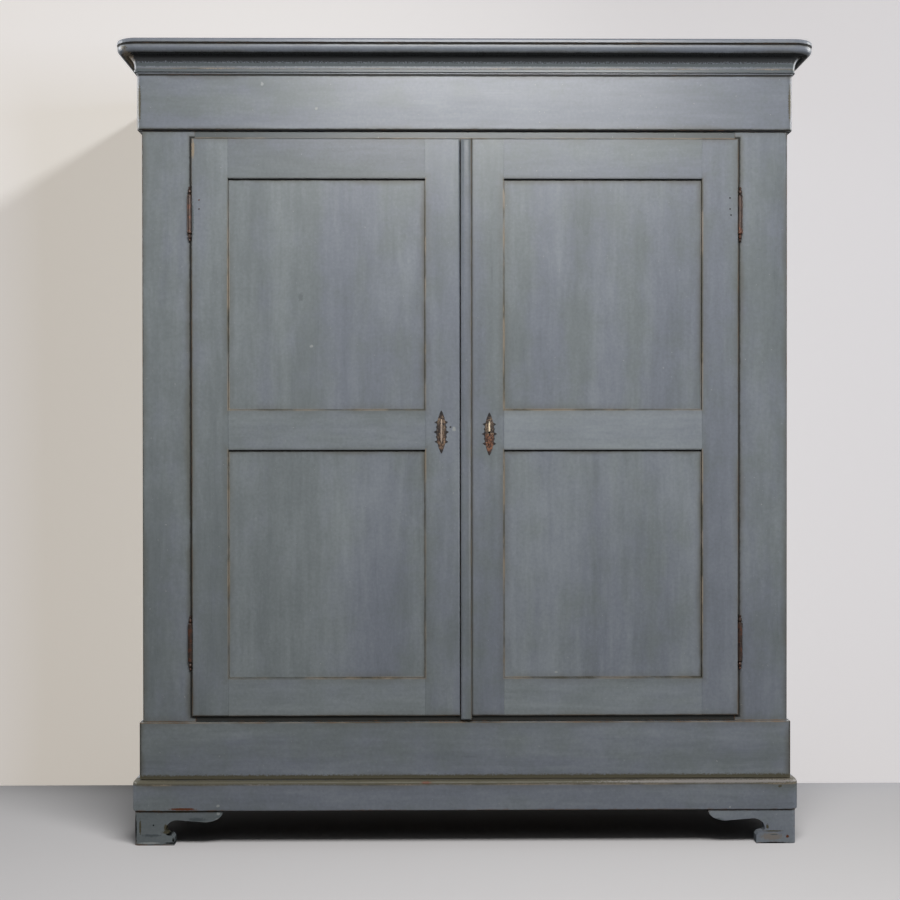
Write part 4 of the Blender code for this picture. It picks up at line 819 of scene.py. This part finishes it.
def dress_case():
    """The fixed boards: glaze and painted shade under each storey, tan along the edges, the most wear low
    down.
    """
    seam = levels("frieze_front")[0]
    foot, crown_top = levels("crown_front")
    base_low, base_high = levels("base_front")
    plinth_low, plinth_high = levels("plinth_front")
    outlines = {side: door_outline(side) for side in ("left", "right")}
    both = list(outlines.values())

    finish = {"wear": 0.3, "cool": 0.14, "depth": CORNER, "line": 0.005, "tone": -0.04, "glaze": 0.85}
    # Dark lines at the frieze's foot and just under the crown: glaze and painted shade under the overhangs
    top_and_foot = [band(seam, foot - CROWN_SHADE_DROP)]
    paint_board("frieze_front", ALONG_X, (), [upright_ends("frieze_front")], top_and_foot, **finish)
    # Painted shade: the head rail darkened under the frieze, and the sill rail under the doors with a wide
    # dark line
    paint_board("head_rail", ALONG_X, (), both, [band(-FAR, seam)], wear=0.3, tone=-1.1)
    paint_board("sill_rail", ALONG_X, (), (), both, tone=-0.8, glaze=0.85, line=0.022)
    # The base is dark at its foot with glaze, and at its rounded ends with glaze and painted shade
    ends = upright_ends("base_front")
    ledges = [band(base_high - FAR, base_high), ends]
    finish = {"glaze": 0.75, "line": 0.0065, "cool": 0.06, "depth": CORNER}
    paint_board("base_front", ALONG_X, (), ledges, [band(base_low, FAR), ends], **finish)
    ledges = [band(plinth_high - FAR, level) for level in (plinth_high, plinth_high - PLINTH_TURN)]
    finish = {"wear": 0.8, "glaze": 0.6, "line": 0.006, "cool": 0.08, "depth": ALL_ROUND}
    paint_board("plinth_front", ALONG_X, (), ledges, [band(plinth_high, FAR)], **finish)

    finish = {"wear": 0.12, "glaze": 1.0, "depth": ALL_ROUND, "cool": 0.2}
    # Lines under the cap and the ovolo, and at the top board's foot: glaze and painted shade under the
    # overhangs
    under_cap = [band(-FAR, levels("top_board")[0])]
    paint_board("top_board", ALONG_X, (), (), under_cap, line=0.0018, **finish)
    fillet = [band(-FAR, foot + FILLET_TOP)]
    quirks = [band(-FAR, level) for level in (crown_top - QUIRK_DEPTH, crown_top - UNDER_CAP)]
    for name, along in (("crown_front", ALONG_X), ("crown_left", ALONG_Y), ("crown_right", ALONG_Y)):
        paint_board(name, along, (), fillet, quirks, line=0.0034, **finish)
    for side, outline in outlines.items():
        dress_side(side, outline, band(base_high, seam), plinth_low)


def dress_side(side, outline, storey, plinth_low):
    """A pilaster, dark along the door and its outer edge, and the boards and feet at that side."""
    name = f"{side}_pilaster"
    low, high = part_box(name)
    ends = upright_band(low.x - THIN_LINE, FAR) if side == "left" else upright_band(-FAR, high.x + THIN_LINE)
    # The dark lines along the door and the outer edge are glaze and painted shade, beside the proud door and
    # on the turning corner
    finish = {"wear": 0.4, "glaze": 0.9, "line": 0.0075, "depth": CORNER}
    paint_board(name, ALONG_Z, (), [storey, outline], [outline, ends], **finish)
    paint_board(f"{side}_side", ALONG_Z, wear=0.4)
    for name in (f"frieze_{side}", f"base_{side}", f"plinth_{side}"):
        paint_board(name, ALONG_Y, wear=0.5)
    # Each foot is dark just under the plinth, glaze and painted shade, and its tone paints light and shade by
    # side
    finish = {"wear": 0.9, "tone": FOOT_TONES[side], "line": 0.003, "gloss": 0.0}
    paint_board(f"foot_front_{side}", ALONG_X, (), (), [band(-FAR, plinth_low)], **finish)
    paint_board(f"foot_back_{side}", ALONG_Y, wear=0.8, tone=-0.1)


def dress_inside():
    for name in ("back_panel", "ceiling_panel", "floor_panel", "shelf_lower", "shelf_middle", "shelf_upper"):
        along = ALONG_Z if name == "back_panel" else ALONG_X
        dress(name, material_from(f"{name}_pine", PINE, {"Along": along, "Seed": seed_of(name)}, bump=0.3)[0])


def dress_metal():
    """Brass for the bolt of the lock, iron for its case, the hinges and the two bolts."""
    dress("lock_bolt", material_from("lock_bolt_brass", METAL, BRASS, bump=0.5, metallic=0.9)[0])
    for name in nodes:
        if any(part in name for part in IRON_NAMES):
            dress(name, material_from(f"{name}_iron", METAL, IRON, bump=0.5, metallic=0.5)[0])


def leaf_plate_metal(name, streak_colour, streak_foot, warmth):
    """Bronze gone dark at spikes and rim; down the middle above streak_foot, rubbed bright and a painted
    highlight.
    """
    low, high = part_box(name)
    middle = (low + high) / 2
    material, node, place = material_from(f"{name}_bronze", METAL, LEAF_BRONZE, bump=0.6, metallic=0.6)
    tree = material.node_tree
    ragged = swing(tree, cloud(tree, place, FINE_RAGGED), LEAF_SWING)
    off = calc(tree, "ABSOLUTE", minus(tree, axis_of(tree, place, 0), middle.x))
    off = plus(tree, off, ragged)
    rise = minus(tree, axis_of(tree, place, 2), middle.z)
    height = plus(tree, calc(tree, "ABSOLUTE", rise), ragged)
    copper = times(tree, fade(tree, rise, *COPPER_CHANGE, 1.0, 0.0), warmth)
    colour = tint(tree, copper, node.outputs["Color"], COPPER)
    pits = fade(tree, cloud(tree, place, METAL_PITS), *PIT_CHANGE, 0.0, PIT_STRENGTH)
    colour = tint(tree, pits, colour, LEAF_DARK)
    # The bright streak down the boss: rubbed bronze and a painted highlight on its ridge
    streak = fold(tree, "MULTIPLY", [
        fade(tree, off, *STREAK_CHANGE, 1.0, 0.0),
        fade(tree, height, *STREAK_END_CHANGE, 1.0, 0.0),
        fade(tree, rise, streak_foot - STREAK_FOOT_SOFTNESS, streak_foot + STREAK_FOOT_SOFTNESS),
    ])
    colour = tint(tree, streak, colour, streak_colour)
    dark = calc(tree, "MAXIMUM", fade(tree, off, *RIM_CHANGE), fade(tree, height, *TIP_CHANGE))
    set_colour(material, tint(tree, times(tree, dark, RIM_DARKNESS), colour, LEAF_DARK))
    return material


def leaf_edge(end):
    """Points up the right edge of the leaf as (height, half width, spike), with a spike at each barb."""
    edge = []
    for place, share in LEAF_BARBS:
        barb = LEAF_SPACING * place
        root = LEAF_SPIKE_HEIGHT * share ** 0.5
        edge += [(barb - root, 0.0), (barb, LEAF_SPIKE * share), (barb + root, 0.0)]
    barbs = [LEAF_SPACING * place for place, _ in LEAF_BARBS]
    for step in range(1 - LEAF_STEPS, LEAF_STEPS):
        z = end * step / LEAF_STEPS
        if min(abs(z - barb) for barb in barbs) > LEAF_SPIKE_HEIGHT:
            edge.append((z, 0.0))
    widths = [math.cos(abs(z) / end * math.pi / 2) ** LEAF_FULLNESS for z, _ in edge]
    return sorted((z, LEAF_HALF_WIDTH * width, spike) for (z, spike), width in zip(edge, widths))


def leaf_outline(middle, end, share, barbed):
    """Outline of the leaf at a share of its full size, with its barbs or without them."""
    right = [(share * width + barbed * spike, share * z) for z, width, spike in leaf_edge(end)]
    left = [(-width, z) for width, z in reversed(right)]
    points = [(0.0, -end * share), *right, (0.0, end * share), *left]
    return [(middle.x + width, middle.z + z) for width, z in points]


def keyhole_outline(middle):
    """A round eye above a straight slot."""
    eye = middle.z + KEYHOLE_HEIGHT / 2 - KEYHOLE_RADIUS
    foot = middle.z - KEYHOLE_HEIGHT / 2
    half = KEYHOLE_SLOT / 2
    start = -math.acos(half / KEYHOLE_RADIUS)
    angles = [start + (math.pi - 2 * start) * step / KEYHOLE_STEPS for step in range(KEYHOLE_STEPS + 1)]
    eye = [(middle.x + KEYHOLE_RADIUS * math.cos(a), eye + KEYHOLE_RADIUS * math.sin(a)) for a in angles]
    return [(middle.x - half, foot), (middle.x + half, foot), *eye]


def ring(shape, outline, y):
    """The edges of a closed outline, at one depth."""
    verts = [shape.verts.new((x, y, z)) for x, z in outline]
    return [shape.edges.new(pair) for pair in zip(verts, verts[1:] + verts[:1])]


def bridge(shape, rings):
    """Faces from each ring to the next."""
    for first, second in zip(rings, rings[1:]):
        bmesh.ops.bridge_loops(shape, edges=first + second)


def fill(shape, *rings):
    """Triangles inside a ring, or between an outer and an inner one."""
    bmesh.ops.triangle_fill(shape, edges=[edge for edges in rings for edge in edges], use_beauty=True)


def add_leaf_plate(side, keyhole, material):
    """A thin spiked leaf with a rounded boss down its middle, shown in place of the CAD's plainer one."""
    name = f"{side}_escutcheon"
    low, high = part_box(name)
    middle, end = (low + high) / 2, (high.z - low.z) / 2
    plate = high.y - LEAF_THICKNESS
    shape = bmesh.new()
    full = leaf_outline(middle, end, 1.0, 1.0)
    rim = leaf_outline(middle, end, LEAF_RIM_SHARE, 1.0)
    leaf = [ring(shape, full, high.y), ring(shape, full, plate + LEAF_EASE), ring(shape, rim, plate)]
    boss = []
    for step in range(BOSS_STEPS + 1):
        turn = math.pi / 2 * step / BOSS_STEPS
        share = BOSS_TOP_SHARE + (BOSS_FOOT_SHARE - BOSS_TOP_SHARE) * math.cos(turn)
        outline = leaf_outline(middle, end, share, 0.0)
        boss.append(ring(shape, outline, plate + (low.y - plate) * math.sin(turn)))
    hole = [ring(shape, keyhole_outline(middle), y) for y in (low.y, high.y)] if keyhole else []
    bridge(shape, leaf)
    bridge(shape, boss)
    bridge(shape, hole)
    fill(shape, leaf[-1], boss[0])
    fill(shape, boss[-1], *hole[:1])
    fill(shape, leaf[0], *hole[1:])
    piece = add_piece(f"{side}_leaf_plate", shape, f"{side}_door", material)
    piece.data.shade_smooth()
    piece.data.set_sharp_from_angle(angle=LEAF_SHARP)
    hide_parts(name)


def add_leaf_plates():
    for side, keyhole, streak_colour, streak_foot, warmth in LEAF_PLATES:
        bronze = leaf_plate_metal(f"{side}_escutcheon", streak_colour, streak_foot, warmth)
        add_leaf_plate(side, keyhole, bronze)


def add_round_head(name, place, size, body, material, screw=False):
    """A domed head with its middle at the place: a nail's or pin's on the front, or a screw's behind."""
    radius, rise = size
    head = bmesh.new()
    bmesh.ops.create_cone(
        head, cap_ends=True, segments=HEAD_SEGMENTS, radius1=radius, radius2=radius * HEAD_TAPER, depth=rise,
    )
    crown = [edge for edge in head.edges if all(vert.co.z > 0.0 for vert in edge.verts)]
    bmesh.ops.bevel(
        head, geom=crown, offset=rise * HEAD_ROUNDING, affect="EDGES", segments=ROUNDING_STEPS, profile=0.5,
        material=-1,
    )
    if screw:
        cut_slot(head, radius, rise)
    turn = Matrix.Rotation(math.radians(-90.0 if screw else 90.0), 4, "X")
    bmesh.ops.transform(head, matrix=Matrix.Translation(place) @ turn, verts=head.verts)
    add_piece(name, head, body, material)


def cut_slot(head, radius, rise):
    """A straight slot across the head: the top is split along both walls, and the strip between is sunk."""
    for offset in (-radius * SLOT_HALF_WIDTH, radius * SLOT_HALF_WIDTH):
        split = head.verts[:] + head.edges[:] + head.faces[:]
        bmesh.ops.bisect_plane(head, geom=split, plane_co=(0.0, offset, 0.0), plane_no=(0.0, 1.0, 0.0))
    head.faces.ensure_lookup_table()
    tops = [face for face in head.faces if face.normal.z > TOP_LEVEL]
    strip = [face for face in tops if abs(face.calc_center_median().y) < radius * SLOT_INSIDE]
    sunk = bmesh.ops.extrude_face_region(head, geom=strip)["geom"]
    bmesh.ops.delete(head, geom=strip, context="FACES")
    floor = [item for item in sunk if isinstance(item, bmesh.types.BMVert)]
    bmesh.ops.translate(head, vec=(0.0, 0.0, -rise * SLOT_DEPTH), verts=floor)


def add_fastenings():
    """Nails in the hinge stiles, pins in the leaf plates, and screws in the lock and the two bolts."""
    iron = material_from("fastening_iron", METAL, FASTENING_IRON, bump=0.4, metallic=0.6)[0]
    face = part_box("left_hinge_stile")[0].y
    for number, (x, z) in enumerate(NAILS, 1):
        body = "left_door" if x < 0.0 else "right_door"
        add_round_head(f"nail_{number}", (x, face - NAIL_STANDOFF, z), NAIL_HEAD, body, iron)
    for side in ("left", "right"):
        low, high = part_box(f"{side}_escutcheon")
        middle = (low + high) / 2
        y = high.y - LEAF_THICKNESS - PIN_STANDOFF
        for end, rise in (("upper", PIN_FROM_MIDDLE), ("lower", -PIN_FROM_MIDDLE)):
            place = (middle.x, y, middle.z + rise)
            add_round_head(f"{side}_{end}_pin", place, PIN_HEAD, f"{side}_door", iron)
    add_inside_screws(iron)


def add_screws(name, columns, rows, y, size, body, iron):
    """A screw wherever a column crosses a row."""
    for number, (x, z) in enumerate(((x, z) for x in columns for z in rows), 1):
        add_round_head(f"{name}_{number}", (x, y, z), size, body, iron, screw=True)


def add_inside_screws(iron):
    """Four screws through the lid of the lock, and one at each corner of the bolt plates."""
    low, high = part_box("lock_case")
    columns, rows = (low.x + LID_EDGE, high.x - LID_EDGE), (low.z + LID_EDGE, high.z - LID_EDGE)
    add_screws("lock_screw", columns, rows, high.y, LOCK_SCREW_HEAD, "right_door", iron)
    for bolt in ("top", "bottom"):
        low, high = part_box(f"{bolt}_bolt_case")
        middle = (low.z + high.z) / 2
        columns, rows = (low.x + PLATE_EDGE, high.x - PLATE_EDGE), (middle - SCREW_RISE, middle + SCREW_RISE)
        face = low.y + PLATE_DEPTH
        add_screws(f"{bolt}_bolt_screw", columns, rows, face, BOLT_SCREW_HEAD, "left_door", iron)


def object_from(name, shape, material):
    """An object at the origin, with its place in its mesh, made from a bmesh."""
    mesh = bpy.data.meshes.new(name)
    shape.to_mesh(mesh)
    shape.free()
    mesh.materials.append(material)
    made = bpy.data.objects.new(name, mesh)
    bpy.context.scene.collection.objects.link(made)
    return made


def add_piece(name, shape, body, material):
    """Turns a bmesh into a piece that rides on a body."""
    bmesh.ops.recalc_face_normals(shape, faces=shape.faces)
    piece = object_from(name, shape, material)
    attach(piece, body)
    return piece


def stage_surface(name, corners, material):
    """A flat face of the studio."""
    shape = bmesh.new()
    shape.faces.new([shape.verts.new(corner) for corner in corners])
    surface = object_from(name, shape, material)
    return surface


def floor_material():
    """Pale to the camera, and dark to other rays, so that little light comes up under the cupboard."""
    inputs = {"Emission Color": FLOOR_GLOW, "Roughness": FLOOR_ROUGHNESS, "Specular IOR Level": 0.0}
    material, tree, shader = new_material("pale_floor", inputs)
    seen = add(tree, "ShaderNodeLightPath").outputs["Is Camera Ray"]
    set_colour(material, tint(tree, seen, FLOOR_BOUNCE, FLOOR_COLOUR))
    away = length_of(tree, add(tree, "ShaderNodeTexCoord").outputs["Object"])
    glow = times(tree, fade(tree, away, *FLOOR_GLOW_CHANGE), seen)
    tree.links.new(glow, shader.inputs["Emission Strength"])
    return material


def wall_material():
    """Pale wall, solid from the front alone: to the camera all of it, and to other rays only its foot."""
    material, tree, shader = new_material("pale_wall", {
        "Base Color": WALL_COLOUR, "Roughness": WALL_ROUGHNESS, "Specular IOR Level": 0.0,
        "Emission Color": WALL_GLOW,
    })
    clear = add(tree, "ShaderNodeBsdfTransparent")
    seen = add(tree, "ShaderNodeLightPath").outputs["Is Camera Ray"]
    tree.links.new(seen, shader.inputs["Emission Strength"])
    geometry = add(tree, "ShaderNodeNewGeometry").outputs
    high = calc(tree, "GREATER_THAN", axis_of(tree, geometry["Position"], 2), WALL_FOOT)
    passing = times(tree, high, minus(tree, 1.0, seen))
    through = calc(tree, "MAXIMUM", geometry["Backfacing"], passing)
    mixed = add(tree, "ShaderNodeMixShader", {0: through, 1: shader.outputs[0], 2: clear.outputs[0]})
    tree.links.new(mixed.outputs[0], tree.nodes["Material Output"].inputs["Surface"])
    return material


def set_stage():
    """A floor all round, and a wall close behind the cupboard."""
    reach = STAGE_REACH
    floor = [(-reach, -reach, 0.0), (reach, -reach, 0.0), (reach, reach, 0.0), (-reach, reach, 0.0)]
    foot = [(-reach, WALL_Y, 0.0), (reach, WALL_Y, 0.0)]
    top = [(reach, WALL_Y, WALL_HEIGHT), (-reach, WALL_Y, WALL_HEIGHT)]
    return stage_surface("wall", foot + top, wall_material()), stage_surface("floor", floor, floor_material())


def set_world():
    """Soft light from high above; the camera, reflections and rays through glass see plain white."""
    world = bpy.data.worlds.new("studio")
    bpy.context.scene.world = world
    world.use_nodes = True
    tree = world.node_tree
    background = tree.nodes["Background"]
    background.inputs["Color"].default_value = WHITE
    path = add(tree, "ShaderNodeLightPath").outputs
    shown = fold(tree, "MAXIMUM", [path[f"Is {kind} Ray"] for kind in ("Camera", "Glossy", "Transmission")])
    rise = axis_of(tree, add(tree, "ShaderNodeTexCoord").outputs["Generated"], 2)
    ambient = fade(tree, rise, *SKY_CHANGE, 0.0, SKY_STRENGTH)
    tree.links.new(calc(tree, "MAXIMUM", shown, ambient), background.inputs["Strength"])


def add_lamp(name, place, target, size, power, colour, spread):
    """An area lamp that shines from its place towards its target."""
    data = bpy.data.lights.new(name, "AREA")
    data.shape = "RECTANGLE"
    data.size, data.size_y = size
    data.energy = power
    data.color = colour
    data.spread = math.radians(spread)
    lamp = bpy.data.objects.new(name, data)
    lamp.location = place
    lamp.rotation_euler = (Vector(target) - Vector(place)).to_track_quat("-Z", "Y").to_euler()
    bpy.context.scene.collection.objects.link(lamp)
    return lamp


def light_only(lamp, receivers):
    """Keeps a lamp's light on some objects; the others still throw their shadows there."""
    lit = bpy.data.collections.new(f"lit_by_{lamp.name}")
    for receiver in receivers:
        lit.objects.link(receiver)
    lamp.light_linking.receiver_collection = lit


def light_studio(wall, floor):
    set_world()
    cupboard = [piece for piece in bpy.data.objects if piece.type == "MESH" and piece not in (wall, floor)]
    receivers = {"cupboard": cupboard, "floor": [floor], "wall": [wall]}
    for *lamp, lit in LAMPS:
        light_only(add_lamp(*lamp), receivers[lit])


def place_camera():
    """The photograph's place and turn: a little left of the middle, about level with the leaf plates."""
    yaw, pitch, roll = map(math.radians, CAMERA_TURN)
    ahead = Vector((math.sin(yaw) * math.cos(pitch), math.cos(yaw) * math.cos(pitch), math.sin(pitch)))
    right = Vector((math.cos(yaw), -math.sin(yaw), 0.0))
    up = right.cross(ahead)
    tilted_right = math.cos(roll) * right + math.sin(roll) * up
    tilted_up = math.cos(roll) * up - math.sin(roll) * right
    data = bpy.data.cameras.new("camera")
    data.sensor_width = CAMERA_SENSOR
    data.lens = CAMERA_LENS
    camera = bpy.data.objects.new("camera", data)
    turn = Matrix((tilted_right, tilted_up, -ahead)).transposed()
    camera.matrix_world = Matrix.Translation(CAMERA_PLACE) @ turn.to_4x4()
    bpy.context.scene.collection.objects.link(camera)
    bpy.context.scene.camera = camera


bpy.context.scene.view_settings.view_transform = "Standard"
dress_doors()
dress_case()
dress_inside()
dress_metal()
add_leaf_plates()
add_fastenings()
light_studio(*set_stage())
place_camera()
